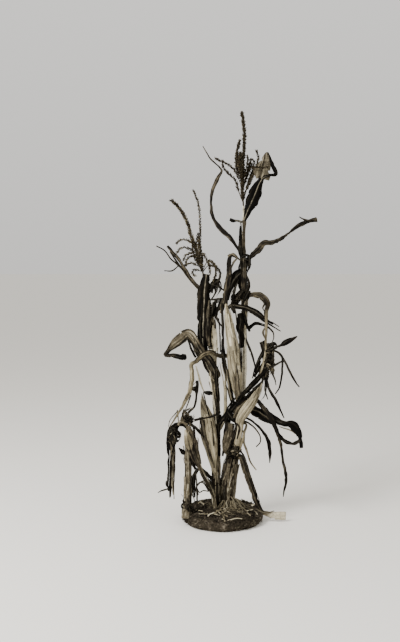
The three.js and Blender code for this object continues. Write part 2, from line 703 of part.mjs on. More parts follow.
for (const [name, stalk] of Object.entries(STALKS)) {
  routes[name] = stalk.route;
  const radius = jointedRadius(stalk.radius, curveThrough(stalk.route).getLength());
  const jointed = { ...stalk, radius };
  let solid = rod(jointed);
  let fat = rod(jointed, CLEARANCE);
  if (name === "stalk_main") {
    for (let index = 0; index < BRACE_ROOTS; index += 1) {
      solid = solid.add(rod(braceRoot(index)));
      fat = fat.add(rod(braceRoot(index), CLEARANCE));
    }
  }
  place(name, solid, fat, stalk.tone);
}

for (const [name, ear] of Object.entries(EARS)) {
  const piece = { ...rooted(ear), steps: ear.route.length + 5 };
  routes[name] = piece.route;
  place(name, rod(piece), rod(piece, CLEARANCE), ear.tone);
}

for (const [name, tassel] of Object.entries(TASSELS)) {
  const radius = tassel.branchRadius;
  const parts = [
    { route: tassel.spike, radius: tassel.radius, sides: 6, steps: 9 },
    ...tassel.branches.map((route) => ({ route, radius, sides: 4, steps: route.length + 1 })),
  ];
  const whole = (grow) => parts.map((part) => rod(part, grow)).reduce((sum, part) => sum.add(part));
  place(name, whole(0), whole(CLEARANCE), "tassel");
}

for (const [name, leaf] of Object.entries(LEAVES)) {
  const piece = rooted(leaf);
  routes[name] = piece.route;
  place(name, joined(blade, piece, 0), joined(blade, piece, CLEARANCE), leaf.tone);
}

export default plant;
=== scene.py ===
"""A ripe, dry maize plant on its shallow root ball, dressed over its solid model.

Lengths are in millimetres until a mesh is finished, and heights and routes are those of the solid model.
"""

import logging
import math
import random
from bisect import bisect_left
from collections.abc import Callable
from dataclasses import dataclass, field
from enum import Enum

import bmesh
import bpy
from mathutils import Matrix, Vector, noise


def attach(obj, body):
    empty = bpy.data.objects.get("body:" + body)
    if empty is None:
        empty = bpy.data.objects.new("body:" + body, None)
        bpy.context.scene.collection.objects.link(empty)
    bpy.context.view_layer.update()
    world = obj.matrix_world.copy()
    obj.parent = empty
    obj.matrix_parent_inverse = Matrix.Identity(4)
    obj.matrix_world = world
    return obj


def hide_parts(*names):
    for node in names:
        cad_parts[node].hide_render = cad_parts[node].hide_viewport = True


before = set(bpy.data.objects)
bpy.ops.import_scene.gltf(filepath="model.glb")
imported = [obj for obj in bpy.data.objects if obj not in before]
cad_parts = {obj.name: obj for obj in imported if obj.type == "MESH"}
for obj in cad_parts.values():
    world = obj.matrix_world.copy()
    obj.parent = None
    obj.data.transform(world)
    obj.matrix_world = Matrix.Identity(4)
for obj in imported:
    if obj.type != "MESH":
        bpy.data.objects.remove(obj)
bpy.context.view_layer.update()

log = logging.getLogger("maize")

Triple = tuple[float, float, float]
Spot = tuple[Vector, float, float, float]
Place = Callable[[float, float], Spot]
Socket = bpy.types.NodeSocket

MM = 0.001
METRE = 1000.0
EYE_X = -90.0
EYE_HEIGHT = 1000.0
EYE_DISTANCE = 3270.0
ROW_STEP = 4.0
NODE_SPACING = 118.0
NODE_SWELL = 1.6
NODE_REACH = 14.0
BRACE_ROOTS = 11
BRACE_RADIUS = 3.2
BRACE_SPREAD = 76.0
BRACE_TOP = 92.0
BRACE_FOOT = 44.0
BALL_RADIUS = 163.0
BALL_HEIGHT = 46.0
BALL_MOUND = 16.0
BALL_BRIM = 156.0
BALL_SIDE = 150.0
MOUND_X = 22.0

# How far each seed moves a texture along, so that no two pieces look alike.
NEXT_SEED = 997

# The soil's height at distances from the middle: the root ball's profile, rounded.
GROUND = ((0.0, 62.0), (41.0, 60.4), (90.0, 51.6), (147.0, 46.0), (160.0, 34.5), (163.0, 16.0))

# How much wider and longer the bands of a leaf are than its veins.
BAND_WIDTH = 3.2
BAND_LENGTH = 1.6

# Where a midrib begins to fade and where it is gone, in metres from its middle.
RIB_CORE = 0.0009
RIB_EDGE = 0.0024


class Tone(Enum):
    """The tissue that a piece is made of. The value is its material slot."""

    STRAW = "dry_straw_leaf"
    HUSK = "pale_husk"
    GREY = "weathered_leaf"
    DARK = "dark_leaf"
    TASSEL = "tassel"
    STALK = "stalk"
    SOIL = "soil"


def linear(hex_colour: str) -> tuple[float, float, float, float]:
    """Turns an sRGB hex colour into linear light.

    Args:
        hex_colour: The colour as "#rrggbb".

    Returns:
        Red, green, blue and alpha.
    """
    shares = [int(hex_colour[i : i + 2], 16) / 255 for i in (1, 3, 5)]
    parts = [c / 12.92 if c <= 0.04045 else ((c + 0.055) / 1.055) ** 2.4 for c in shares]
    return (parts[0], parts[1], parts[2], 1.0)


@dataclass(frozen=True)
class Nodes:
    """The node tree of a material, or of the air."""

    tree: bpy.types.NodeTree

    def add(self, kind: str, links: dict | None = None, **settings) -> bpy.types.Node:
        """Adds one node.

        Args:
            kind: The shader node's type name, without its prefix.
            links: What each input takes, by name or number: another node's output, or a plain value.
            **settings: The node's own properties.

        Returns:
            The new node.
        """
        node = self.tree.nodes.new("ShaderNode" + kind)
        for key, value in settings.items():
            setattr(node, key, value)
        for key, value in (links or {}).items():
            if isinstance(value, Socket):
                self.tree.links.new(value, node.inputs[key])
            else:
                node.inputs[key].default_value = value
        return node

    def maths(self, operation: str, *values: Socket | float, clamp: bool = False) -> Socket:
        """Adds a sum, which stays between 0 and 1 if it is clamped."""
        return self.add("Math", dict(enumerate(values)), operation=operation, use_clamp=clamp).outputs[0]

    def noise(self, place: Socket, scale: float, detail: float, roughness: float = 0.5) -> Socket:
        """Adds soft noise, read at a place."""
        links = {"Vector": place, "Scale": scale, "Detail": detail, "Roughness": roughness}
        return self.add("TexNoise", links).outputs[0]

    def ramp(self, value: Socket, *levels: float) -> Socket:
        """Adds a ramp with flat ends, from the first two levels to the last two."""
        return self.add("MapRange", dict(enumerate((value, *levels))), clamp=True).outputs[0]

    def mix(self, share: Socket, under: Socket, over: tuple) -> Socket:
        """Adds one colour laid over another by a share."""
        return self.add("Mix", {0: share, 6: under, 7: over}, data_type="RGBA").outputs[2]


@dataclass(frozen=True)
class Finish:
    """A dry maize tissue or soil, by its colours and the sizes of its marks in millimetres."""

    dark: str
    middle: str
    pale: str
    rib: str
    roughness: float
    streak: float
    streak_length: float
    streak_depth: float
    patch: float
    patch_depth: float
    speck: float
    speck_share: float
    relief: float
    gloss: float

    def material(self, name: str) -> bpy.types.Material:
        """Builds the material.

        Args:
            name: The material's name.

        Returns:
            The material, which reads the piece's UV map in metres and its `shade` and `rib` attributes.
        """
        made = bpy.data.materials.new(name)
        made.use_nodes = True
        made.node_tree.nodes.clear()
        nodes = Nodes(made.node_tree)
        measure = nodes.add("UVMap", uv_map="measure").outputs[0]
        space = nodes.add("TexCoord").outputs["Object"]
        shade = nodes.add("Attribute", attribute_name="shade").outputs["Fac"]
        rib = nodes.add("Attribute", attribute_name="rib").outputs["Fac"]

        # veins: fine lines along the leaf, and broader pale and dark bands between them
        layers = []
        for wider, longer, detail in ((1.0, 1.0, 2.0), (BAND_WIDTH, BAND_LENGTH, 3.0)):
            scale = (METRE / (self.streak * wider), METRE / (self.streak_length * longer), 1.0)
            place = nodes.add("VectorMath", {0: measure, 1: scale}, operation="MULTIPLY").outputs[0]
            layers.append(nodes.noise(place, 1.0, detail))
        streaks = nodes.maths("ADD", *layers)

        # weathering: soft patches where the tissue bleached or rotted
        patch = nodes.noise(space, METRE / self.patch, 4.0, 0.6)
        streak_part = nodes.maths("MULTIPLY_ADD", streaks, self.streak_depth, -self.streak_depth)
        patch_part = nodes.maths("MULTIPLY_ADD", patch, self.patch_depth, -self.patch_depth / 2)
        marks = nodes.maths("ADD", streak_part, patch_part)
        ramp = nodes.add("ValToRGB", {"Fac": nodes.maths("ADD", marks, shade, clamp=True)})
        ramp.color_ramp.elements[0].color = linear(self.dark)
        ramp.color_ramp.elements[1].color = linear(self.pale)
        ramp.color_ramp.elements.new(0.5).color = linear(self.middle)

        # the midrib is paler than the blade, and about 3 mm across
        off_rib = nodes.maths("ABSOLUTE", nodes.add("SeparateXYZ", {0: measure}).outputs[0])
        near_rib = nodes.ramp(off_rib, RIB_CORE, RIB_EDGE, 1.0, 0.0)
        clear = nodes.ramp(patch, 0.38, 0.62, 0.25, 1.0)
        rib_share = nodes.maths("MULTIPLY", nodes.maths("MULTIPLY", near_rib, rib), clear)
        ribbed = nodes.mix(rib_share, ramp.outputs[0], linear(self.rib))

        # mould and grit: small dark specks
        specks = nodes.noise(space, METRE / self.speck, 2.0)
        edge = 0.5 + 0.2 * (1 - self.speck_share)
        colour = nodes.mix(nodes.ramp(specks, edge, edge + 0.06, 0.0, 0.75), ribbed, linear(self.dark))

        # crinkled paper under the veins, duller in some patches than in others
        rough = nodes.ramp(patch, 0.3, 0.7, self.roughness - 0.1, min(1.0, self.roughness + 0.08))
        crinkle = nodes.noise(space, 140.0, 3.0, 0.6)
        height = nodes.maths("MULTIPLY_ADD", crinkle, 1.5, streaks)
        bump = nodes.add("Bump", {"Height": height, "Strength": 0.7, "Distance": self.relief * MM})
        surface = {"Base Color": colour, "Roughness": rough, "Normal": bump.outputs[0], "IOR": 1.4}
        shader = nodes.add("BsdfPrincipled", {**surface, "Specular IOR Level": self.gloss})
        nodes.add("OutputMaterial", {"Surface": shader.outputs[0]})
        return made


# What each finish gives the eye:
# dead, brittle leaf blade: matt, with close parallel veins, a pale midrib and brown rot in patches;
# husk: papery, nearly white where the sun bleached it, ribbed along its length;
# stalk: a hard waxy rind gone straw-yellow, with fibres along it and sooty mottling;
# tassel: bristly brown chaff;
# soil: dark, damp, crumbly loam with no shine.
# Veins are about 1 mm apart on a real leaf, and are drawn 2 to 3 mm apart so that they show.
# Each row has its dark, middle, pale and rib colours, its roughness, the width, length and depth of its
# veins, the size and depth of its patches, the size and share of its specks, its relief and its gloss.
FINISHES = {
    Tone.STRAW: Finish(
        "#1f1a12", "#7b7159", "#d2c9b0", "#ded6c0", 0.78, 3.0, 120, 1.05, 26, 0.85, 5, 0.4, 0.9, 0.12
    ),
    Tone.HUSK: Finish(
        "#342d20", "#9b9177", "#e8e1cd", "#f0ead6", 0.72, 3.4, 170, 0.90, 38, 0.60, 5, 0.3, 1.0, 0.2
    ),
    Tone.GREY: Finish(
        "#0f0c08", "#574f3f", "#b3aa93", "#c4bca6", 0.84, 2.8, 90, 1.15, 24, 0.95, 4, 0.5, 1.0, 0.1
    ),
    Tone.DARK: Finish(
        "#060504", "#241f17", "#7b7360", "#a49c87", 0.86, 2.8, 90, 0.90, 24, 0.70, 4, 0.5, 1.0, 0.06
    ),
    Tone.TASSEL: Finish(
        "#0b0906", "#352e22", "#82795f", "#82795f", 0.90, 1.6, 12, 0.50, 26, 0.50, 3, 0.3, 0.4, 0.06
    ),
    Tone.STALK: Finish(
        "#120f0a", "#6f664f", "#ddd6c0", "#ddd6c0", 0.64, 2.6, 80, 1.00, 26, 1.10, 4, 0.6, 0.6, 0.25
    ),
    Tone.SOIL: Finish(
        "#0d0b08", "#373128", "#857c6d", "#857c6d", 0.97, 6.0, 8, 0.30, 9, 0.90, 2.6, 0.6, 1.8, 0.04
    ),
}


@dataclass
class Palette:
    """The materials of the plant, each made once."""

    made: dict[Tone, bpy.types.Material] = field(default_factory=dict)

    def of(self, tone: Tone) -> bpy.types.Material:
        """The material of a tissue."""
        if tone not in self.made:
            self.made[tone] = FINISHES[tone].material(tone.value)
        return self.made[tone]


PALETTE = Palette()


def sighted(point: Triple) -> Vector:
    """Carries a point of the front elevation along its line of sight to its own depth.

    Args:
        point: x and z as read on the upright plane through the stalks, and y as the depth behind it.

    Returns:
        The point in space.
    """
    x, y, z = point
    reach = 1 + y / EYE_DISTANCE
    return Vector((EYE_X + (x - EYE_X) * reach, y, EYE_HEIGHT + (z - EYE_HEIGHT) * reach))


def along(values: list[float], share: float) -> float:
    """Reads an evenly spaced list.

    Args:
        values: The numbers from one end to the other.
        share: Where to read, from 0 to 1.

    Returns:
        The value there.
    """
    if len(values) == 1:
        return values[0]
    place = min(max(share, 0.0), 1.0) * (len(values) - 1)
    index = min(int(place), len(values) - 2)
    return values[index] + (values[index + 1] - values[index]) * (place - index)


def ease(low: float, high: float, value: float) -> float:
    """A smooth step from 0 at low to 1 at high."""
    share = min(max((value - low) / (high - low), 0.0), 1.0)
    return share * share * (3 - 2 * share)


def wander(length: float, cell: float, *seeds: float) -> float:
    """Smooth chance along a length.

    Args:
        length: Where it is read, in millimetres.
        cell: Over what length it changes.
        *seeds: Two numbers that set it apart from other chances.

    Returns:
        A number from about -1 to 1.
    """
    return noise.noise(Vector((length / cell, *seeds)))


class Route:
    """A smooth centripetal curve through front-elevation points, read by its length."""

    PARTS = 24

    def __init__(self, points: list[Triple], seen: bool = True) -> None:
        """Samples the curve.

        Args:
            points: The points it goes through.
            seen: True if they are front-elevation points, and False if they are in space.
        """
        knots = [sighted(point) if seen else Vector(point) for point in points]
        knots = [2 * knots[0] - knots[1], *knots, 2 * knots[-1] - knots[-2]]
        self.spots = [knots[1]]
        for index in range(1, len(knots) - 2):
            self.spots += self.span(*knots[index - 1 : index + 3])
        self.reach = [0.0]
        for before, after in zip(self.spots, self.spots[1:]):
            self.reach.append(self.reach[-1] + (after - before).length)
        self.length = self.reach[-1]

    @classmethod
    def span(cls, before: Vector, start: Vector, end: Vector, after: Vector) -> list[Vector]:
        """Samples one span between two knots.

        Args:
            before: The knot before the span.
            start: Its first knot.
            end: Its last knot.
            after: The knot after the span.

        Returns:
            The points after its start, up to its end.
        """
        gaps = [math.sqrt((b - a).length) for a, b in ((before, start), (start, end), (end, after))]
        middle = gaps[1] if gaps[1] > 1e-4 else 1.0
        first = gaps[0] if gaps[0] > 1e-4 else middle
        last = gaps[2] if gaps[2] > 1e-4 else middle
        leave = (
            (start - before) / first - (end - before) / (first + middle) + (end - start) / middle
        ) * middle
        arrive = (
            (end - start) / middle - (after - start) / (middle + last) + (after - end) / last
        ) * middle
        spots = []
        for part in range(1, cls.PARTS + 1):
            t = part / cls.PARTS
            bend = -3 * start + 3 * end - 2 * leave - arrive
            twist = 2 * start - 2 * end + leave + arrive
            spots.append(start + leave * t + bend * t * t + twist * t * t * t)
        return spots

    def at(self, share: float) -> Vector:
        """The point at a share of the length.

        Args:
            share: Where along the curve, from 0 to 1. Past either end it goes straight on.

        Returns:
            The point.
        """
        goal = share * self.length
        index = min(max(bisect_left(self.reach, goal), 1), len(self.reach) - 1)
        low, high = self.reach[index - 1], self.reach[index]
        return self.spots[index - 1].lerp(self.spots[index], (goal - low) / max(high - low, 1e-9))

    def frame(
        self, share: float, turn: float = 0.0, facing: Triple = (0, -1, 0)
    ) -> tuple[Vector, Vector, Vector]:
        """The run, across and outward directions at a share of the length.

        Args:
            share: Where along the curve, from 0 to 1.
            turn: How far the blade is turned about its run, in degrees.
            facing: Where outward faces when turn is 0. It is never along the run.

        Returns:
            The three unit vectors.
        """
        step = 3.0 / self.length
        run = (self.at(share + step) - self.at(share - step)).normalized()
        outward = (Vector(facing) - run * run.dot(facing)).normalized()
        across = run.cross(outward)
        angle = math.radians(turn)
        turned = across * math.cos(angle) + outward * math.sin(angle)
        return run, turned, outward * math.cos(angle) - across * math.sin(angle)

    def share_at(self, height: float) -> float:
        """Where an upright route first reaches a height.

        Args:
            height: The height in space.

        Returns:
            The share of the length there, and 1 if it ends below that height.
        """
        for spot, reach in zip(self.spots, self.reach):
            if spot.z >= height:
                return reach / self.length
        return 1.0


class Work:
    """One mesh in the making: a bmesh in millimetres with its measures and shades.

    An operator takes longer the larger its mesh is, so a large one is set aside and a new one begun.
    """

    LARGE = 2500

    def __init__(self) -> None:
        """Starts with nothing set aside."""
        self.aside: list[bpy.types.Mesh] = []
        self.begin()

    def begin(self) -> None:
        """Begins an empty mesh with its layers."""
        self.mesh = bmesh.new()
        self.measure = self.mesh.loops.layers.uv.new("measure")
        self.shade = self.mesh.verts.layers.float.new("shade")
        self.rib = self.mesh.verts.layers.float.new("rib")

    def set_aside(self) -> None:
        """Sets the mesh aside if it has grown large."""
        if len(self.mesh.verts) > self.LARGE:
            kept = bpy.data.meshes.new("aside")
            self.mesh.to_mesh(kept)
            self.mesh.free()
            self.aside.append(kept)
            self.begin()

    def sheet(
        self,
        columns: int,
        rows: int,
        place: Place,
        torn: Callable[[float, float], bool] | None = None,
        thickness: float = 0.7,
        rib: float = 0.0,
        ribbed: float = 0.5,
    ) -> None:
        """Adds a thin closed sheet: a grid that is torn, bent into place and given its thickness.

        Args:
            columns: Faces across it.
            rows: Faces along it.
            place: For side -1 to 1 and share 0 to 1, the point, its measures across and along, and its shade.
            torn: True where a face, by its middle, is torn away.
            thickness: The sheet's thickness.
            rib: How clearly its midrib shows, from 0 to 1.
            ribbed: How far from its base its midrib shows, as a share of its length.
        """
        corners = bmesh.ops.create_grid(self.mesh, x_segments=columns, y_segments=rows, size=1.0)["verts"]
        faces = list({face for corner in corners for face in corner.link_faces})
        if torn:
            middles = [(face, face.calc_center_median()) for face in faces]
            gone = [face for face, middle in middles if torn(middle.x, (middle.y + 1) / 2)]
            bmesh.ops.delete(self.mesh, geom=gone, context="FACES")
            faces = [face for face in faces if face.is_valid]
            corners = [corner for corner in corners if corner.is_valid]
        self.settle(corners, faces, place, rib, ribbed)
        wall = bmesh.ops.solidify(self.mesh, geom=faces, thickness=thickness)["geom"]
        for item in wall:
            if isinstance(item, bmesh.types.BMFace):
                item.smooth = True
        self.set_aside()

    def tube(self, sides: int, rows: int, place: Place) -> None:
        """Adds a closed tube: a grid that is rolled up, joined along its seam and capped.

        Args:
            sides: Faces round it.
            rows: Faces along it.
            place: For side -1 to 1, once round, and share 0 to 1, the point, its measures and its shade.
        """
        corners = bmesh.ops.create_grid(self.mesh, x_segments=sides, y_segments=rows, size=1.0)["verts"]
        faces = list({face for corner in corners for face in corner.link_faces})
        self.settle(corners, faces, place)
        bmesh.ops.remove_doubles(self.mesh, verts=corners, dist=1e-4)
        rims = [edge for face in faces for edge in face.edges if edge.is_boundary]
        bmesh.ops.holes_fill(self.mesh, edges=list(set(rims)), sides=0)
        self.set_aside()

    def settle(
        self,
        corners: list[bmesh.types.BMVert],
        faces: list[bmesh.types.BMFace],
        place: Place,
        rib: float = 0.0,
        ribbed: float = 1.0,
    ) -> None:
        """Bends a flat grid into place and writes its measures and shades.

        Args:
            corners: The grid's vertices, from -1 to 1 both ways.
            faces: Its faces.
            place: As for a sheet.
            rib: How clearly its midrib shows.
            ribbed: How far from its base its midrib shows, as a share of its length.
        """
        for corner in corners:
            corner[self.rib] = rib * (1 - ease(ribbed, ribbed + 0.15, (corner.co.y + 1) / 2))
        spots = {corner: place(corner.co.x, (corner.co.y + 1) / 2) for corner in corners}
        for face in faces:
            face.smooth = True
            for loop in face.loops:
                _, across, length, _ = spots[loop.vert]
                loop[self.measure].uv = (across * MM, length * MM)
        for corner, (point, _, _, shade) in spots.items():
            corner.co = point
            corner[self.shade] = shade

    def grain(self, centre: Vector, size: Vector, turn: Matrix, shade: float) -> None:
        """Adds a small pointed grain of 20 faces, such as a floret or a crumb.

        Args:
            centre: Its middle.
            size: Its half width, half depth and half length.
            turn: Its rotation.
            shade: Its shade.
        """
        shape = Matrix.Translation(centre) @ turn.to_4x4() @ Matrix.Diagonal((*size, 1.0))
        made = bmesh.ops.create_icosphere(self.mesh, subdivisions=1, radius=1.0, matrix=shape)["verts"]
        for corner in made:
            corner[self.shade] = shade
            for face in corner.link_faces:
                face.smooth = True
        self.set_aside()

    def finish(self, name: str, tone: Tone, *nodes: str) -> bpy.types.Object:
        """Turns the mesh into a dressed piece of the plant.

        Args:
            name: The piece's name.
            tone: What it is made of.
            *nodes: The solids that it stands for.

        Returns:
            The piece.
        """
        for kept in self.aside:
            self.mesh.from_mesh(kept)
            bpy.data.meshes.remove(kept)
        bmesh.ops.recalc_face_normals(self.mesh, faces=self.mesh.faces[:])
        bmesh.ops.scale(self.mesh, vec=(MM, MM, MM), verts=self.mesh.verts[:])
        mesh = bpy.data.meshes.new(name)
        self.mesh.to_mesh(mesh)
        self.mesh.free()
        mesh.materials.append(PALETTE.of(tone))
        piece = bpy.data.objects.new(name, mesh)
        bpy.context.scene.collection.objects.link(piece)
        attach(piece, "root")
        if nodes:
            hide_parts(*nodes)
        log.info("%s: %d faces", name, len(mesh.polygons))
        return piece


ROUTES: dict[str, list[Triple]] = {}


def rooted(on: tuple[str, float], route: list[Triple]) -> list[Triple]:
    """A route that starts inside what carries it.

    Args:
        on: The carrier's name, and the height at which the piece leaves it.
        route: The piece's own points.

    Returns:
        The points with the carrier's point before them.
    """
    carrier, height = ROUTES[on[0]], on[1]
    after = next(i for i, point in enumerate(carrier) if i > 0 and point[2] >= height)
    low, high = carrier[after - 1], carrier[after]
    share = (height - low[2]) / (high[2] - low[2])
    start = tuple(a + (b - a) * share for a, b in zip(low, high))
    return [start, *route]


@dataclass
class Fray:
    """How the end of a blade splits into strips, and how its margins are nicked."""

    name: str
    count: int
    length: float

    def __post_init__(self) -> None:
        """Draws the splits from the blade's name."""
        draw = random.Random(self.name)
        self.depth = draw.uniform(0, 50)
        places = [-1 + 2 * (i + draw.uniform(0.75, 1.25)) / (self.count + 1) for i in range(self.count)]
        self.cuts = [(place, draw.uniform(0.45, 0.85)) for place in places]
        self.ends = [draw.uniform(0.82, 1.0) for _ in range(self.count + 1)]
        self.ends[draw.randrange(self.count + 1)] = 1.0
        self.lifts = [draw.uniform(-1, 1) for _ in range(self.count + 1)]
        self.drifts = [draw.uniform(-1, 1) for _ in range(self.count + 1)]

    def strip(self, side: float) -> int:
        """The number of the strip that a side lies in."""
        return sum(side > place for place, _ in self.cuts)

    def torn(self, side: float, share: float, column: float) -> bool:
        """Tells where the blade is torn away.

        Args:
            side: Across the blade, from -1 to 1.
            share: Along it, from 0 to 1.
            column: The width of one face, in sides.

        Returns:
            True if nothing is left there.
        """
        if any(abs(side - place) < column * 0.5 and share > start for place, start in self.cuts):
            return True
        if self.count and share > self.ends[self.strip(side)]:
            return True
        nick = wander(share * self.length, 22, math.copysign(3, side), self.depth)
        return abs(side) > 1.0 - 0.9 * max(0.0, nick - 0.3) and 0.06 < share < 0.97

    def move(self, side: float, share: float) -> tuple[float, float]:
        """How far a strip has drifted.

        Args:
            side: Across the blade, from -1 to 1.
            share: Along it, from 0 to 1.

        Returns:
            The way sideways and the way outwards, in millimetres.
        """
        if not self.count:
            return 0.0, 0.0
        strip = self.strip(side)
        gone = ease(0.5, 1.0, share)
        return 4.0 * gone * self.drifts[strip], 7.0 * gone * self.lifts[strip]


@dataclass
class Offshoot:
    """A second strip of a torn blade, by its route and widths."""

    route: list[Triple]
    width: list[float]
    shade: list[float] | None = None


@dataclass
class Blade:
    """A dry leaf blade.

    Lists are evenly spaced from its base to its tip. `roll` is how far each half of it curls, in degrees.
    """

    name: str
    tone: Tone
    on: tuple[str, float]
    route: list[Triple]
    width: list[float]
    turn: list[float] = field(default_factory=lambda: [0.0])
    shade: list[float] = field(default_factory=lambda: [0.3])
    roll: list[float] = field(default_factory=lambda: [45.0])
    rib: float = 0.08
    ribbed: float = 0.5
    edge: float = 0.22
    crumple: float = 1.6
    twist: float = 22.0
    frays: int = 0
    facing: Triple = (0, -1, 0)
    also: list[Offshoot] = field(default_factory=list)
    solid: bool = True

    def spread(self, work: Work, name: str, route: Route, width: list[float], shades: list[float]) -> None:
        """Adds one strip of the blade to its mesh.

        Args:
            work: The mesh in the making.
            name: What the strip's chances are drawn from.
            route: Its curve.
            width: Its widths.
            shades: Its shades.
        """
        draw = random.Random(name)
        seed = draw.uniform(0, 100)
        pleat = draw.uniform(2.2, 3.6)
        wave = draw.uniform(26, 44)
        frays = Fray(name, self.frays, route.length)
        rows = max(12, round(route.length / ROW_STEP))
        columns = 2 * max(2, min(9, round(max(width) / 4)))
        lines: dict[float, tuple] = {}

        def line(share: float) -> tuple:
            """What all corners of one row have in common."""
            if share not in lines:
                length = share * route.length
                half = max(along(width, share), 1.2) / 2
                small = min(1.0, half / 9)
                bow = math.radians(max(along(self.roll, share), 3.0))
                twist = self.twist * wander(length, 55, seed, 1.0)
                _, across, outward = route.frame(share, along(self.turn, share) + twist, self.facing)
                sway = (0.5 + small) * 1.3 * ease(0.0, 20.0, length)
                centre = route.at(share) + across * sway * wander(length, 23, seed, 5.0)
                centre += outward * sway * wander(length, 29, seed, 9.0)
                sides = []
                for hand in (-1.0, 1.0):
                    uneven = 0.16 * wander(length, 34, hand * 4, seed)
                    uneven += 0.05 * wander(length, 11, hand * 4, seed)
                    spread = half * (1 + uneven)
                    curl = bow * (1 + 0.55 * wander(length, 60, hand * 7, seed))
                    sides.append((spread, max(curl, 0.05)))
                lines[share] = (centre, across, outward, small, sides)
            return lines[share]

        def place(side: float, share: float) -> Spot:
            """Bends one corner of the blade into place."""
            centre, across, outward, small, sides = line(share)
            half, bow = sides[side > 0]
            length = share * route.length
            radius = half / math.sin(min(bow, math.pi / 2))
            out = radius * math.sin(side * bow)
            deep = radius * (1 - math.cos(side * bow))
            edge = abs(side) ** 2.5
            ripple = math.sin(2 * math.pi * length / wave + (2.1 if side > 0 else 0.0) + seed)
            deep += small * 2.0 * edge * ripple * (0.6 + wander(length, 80, seed, 6.0))
            spot = Vector((side * half / 16, length / 38, seed))
            deep += small * self.crumple * 1.6 * noise.noise(spot)
            deep += small * 0.8 * noise.noise(spot * 3.1)
            out += small * 0.7 * self.crumple * noise.noise(spot + Vector((7, 3, 11)))
            fold = math.cos(side * math.pi * pleat + seed + 2.0 * wander(length, 70, seed, 2.0))
            deep += small * 1.1 * fold
            groove = math.exp(-((side * half / 1.6) ** 2))
            deep -= small * 0.9 * groove
            drift, lift = frays.move(side, share)
            point = centre - across * (out + drift) + outward * (lift * small - deep)
            point.z = max(point.z, 1.2)
            mark = along(shades, share) + 0.07 * fold
            mark += 0.2 * noise.noise(Vector((side * 1.3, length / 42, seed + 3)))
            rim = 0.6 + 0.45 * wander(length, 24, math.copysign(2, side), seed)
            mark -= self.edge * ease(rim, 1.04, abs(side))
            return point, side * half, length + NEXT_SEED * seed, mark

        work.sheet(
            columns,
            rows,
            place,
            lambda side, share: frays.torn(side, share, 2 / columns),
            thickness=0.8,
            rib=self.rib,
            ribbed=self.ribbed,
        )

    def build(self) -> None:
        """Builds and dresses the blade."""
        ROUTES[self.name] = rooted(self.on, self.route) if self.on[0] else self.route
        work = Work()
        self.spread(work, self.name, Route(ROUTES[self.name]), self.width, self.shade)
        for number, part in enumerate(self.also):
            self.spread(work, f"{self.name}{number}", Route(part.route), part.width, part.shade or self.shade)
        work.finish(self.name + "_dress", self.tone, *([self.name] if self.solid else []))


@dataclass
class Strip:
    """A narrow shred of leaf: its depths at both ends, and its line as x, z and width at each point."""

    shade: float
    depths: tuple[float, float]
    line: list[Triple]

    def spread(self, work: Work, tone: Tone, name: str) -> None:
        """Adds the shred to a mesh.

        Args:
            work: The mesh in the making.
            tone: Its tissue.
            name: What its chances are drawn from.
        """
        near, far = self.depths
        last = len(self.line) - 1
        route = [(x, near + (far - near) * i / last, z) for i, (x, z, _) in enumerate(self.line)]
        width = [point[2] for point in self.line]
        blade = Blade(name, tone, ("", 0.0), route, width, edge=0.08, solid=False)
        blade.spread(work, name, Route(route), width, [self.shade])


@dataclass
class Tangle:
    """A knot of curled leaf shreds round a front-elevation point, with its half sizes."""

    shade: float
    centre: Triple
    size: Triple
    count: int
    length: float

    def spread(self, work: Work, tone: Tone, name: str) -> None:
        """Adds the knot's shreds to a mesh.

        Args:
            work: The mesh in the making.
            tone: Its tissue.
            name: What its chances are drawn from.
        """
        draw = random.Random(name)
        for number in range(self.count):
            spot = Vector([draw.uniform(-0.6, 0.6) for _ in range(3)])
            heading = Vector([draw.uniform(-1, 1) for _ in range(3)]).normalized()
            route = []
            for _ in range(6):
                route.append(tuple(c + s * p for c, s, p in zip(self.centre, self.size, spot)))
                heading = (heading + Vector([draw.uniform(-0.9, 0.9) for _ in range(3)])).normalized()
                step = Vector([p * self.length / 5 / s for p, s in zip(heading, self.size)])
                spot += step
                if spot.length > 1.0:
                    spot *= 1.0 / spot.length
                    heading = (heading - spot.normalized()).normalized()
            width = [2.0, draw.uniform(4, 10), draw.uniform(5, 11), draw.uniform(3, 7), 2.0]
            turn = [draw.uniform(-60, 60), draw.uniform(-60, 60)]
            label = f"{name}{number}"
            blade = Blade(label, tone, ("", 0.0), route, width, turn, edge=0.1, solid=False)
            blade.spread(work, label, Route(route), width, [self.shade + draw.uniform(-0.08, 0.25)])


@dataclass
class Shreds:
    """All the loose shreds and knots of one tissue, as one piece."""

    tone: Tone
    parts: list[Strip | Tangle]
    work: Work

    def build(self) -> None:
        """Builds and dresses the shreds."""
        for number, part in enumerate(self.parts):
            part.spread(self.work, self.tone, f"shred_{self.tone.value}_{number}")
        self.work.finish(f"shreds_{self.tone.value}", self.tone)


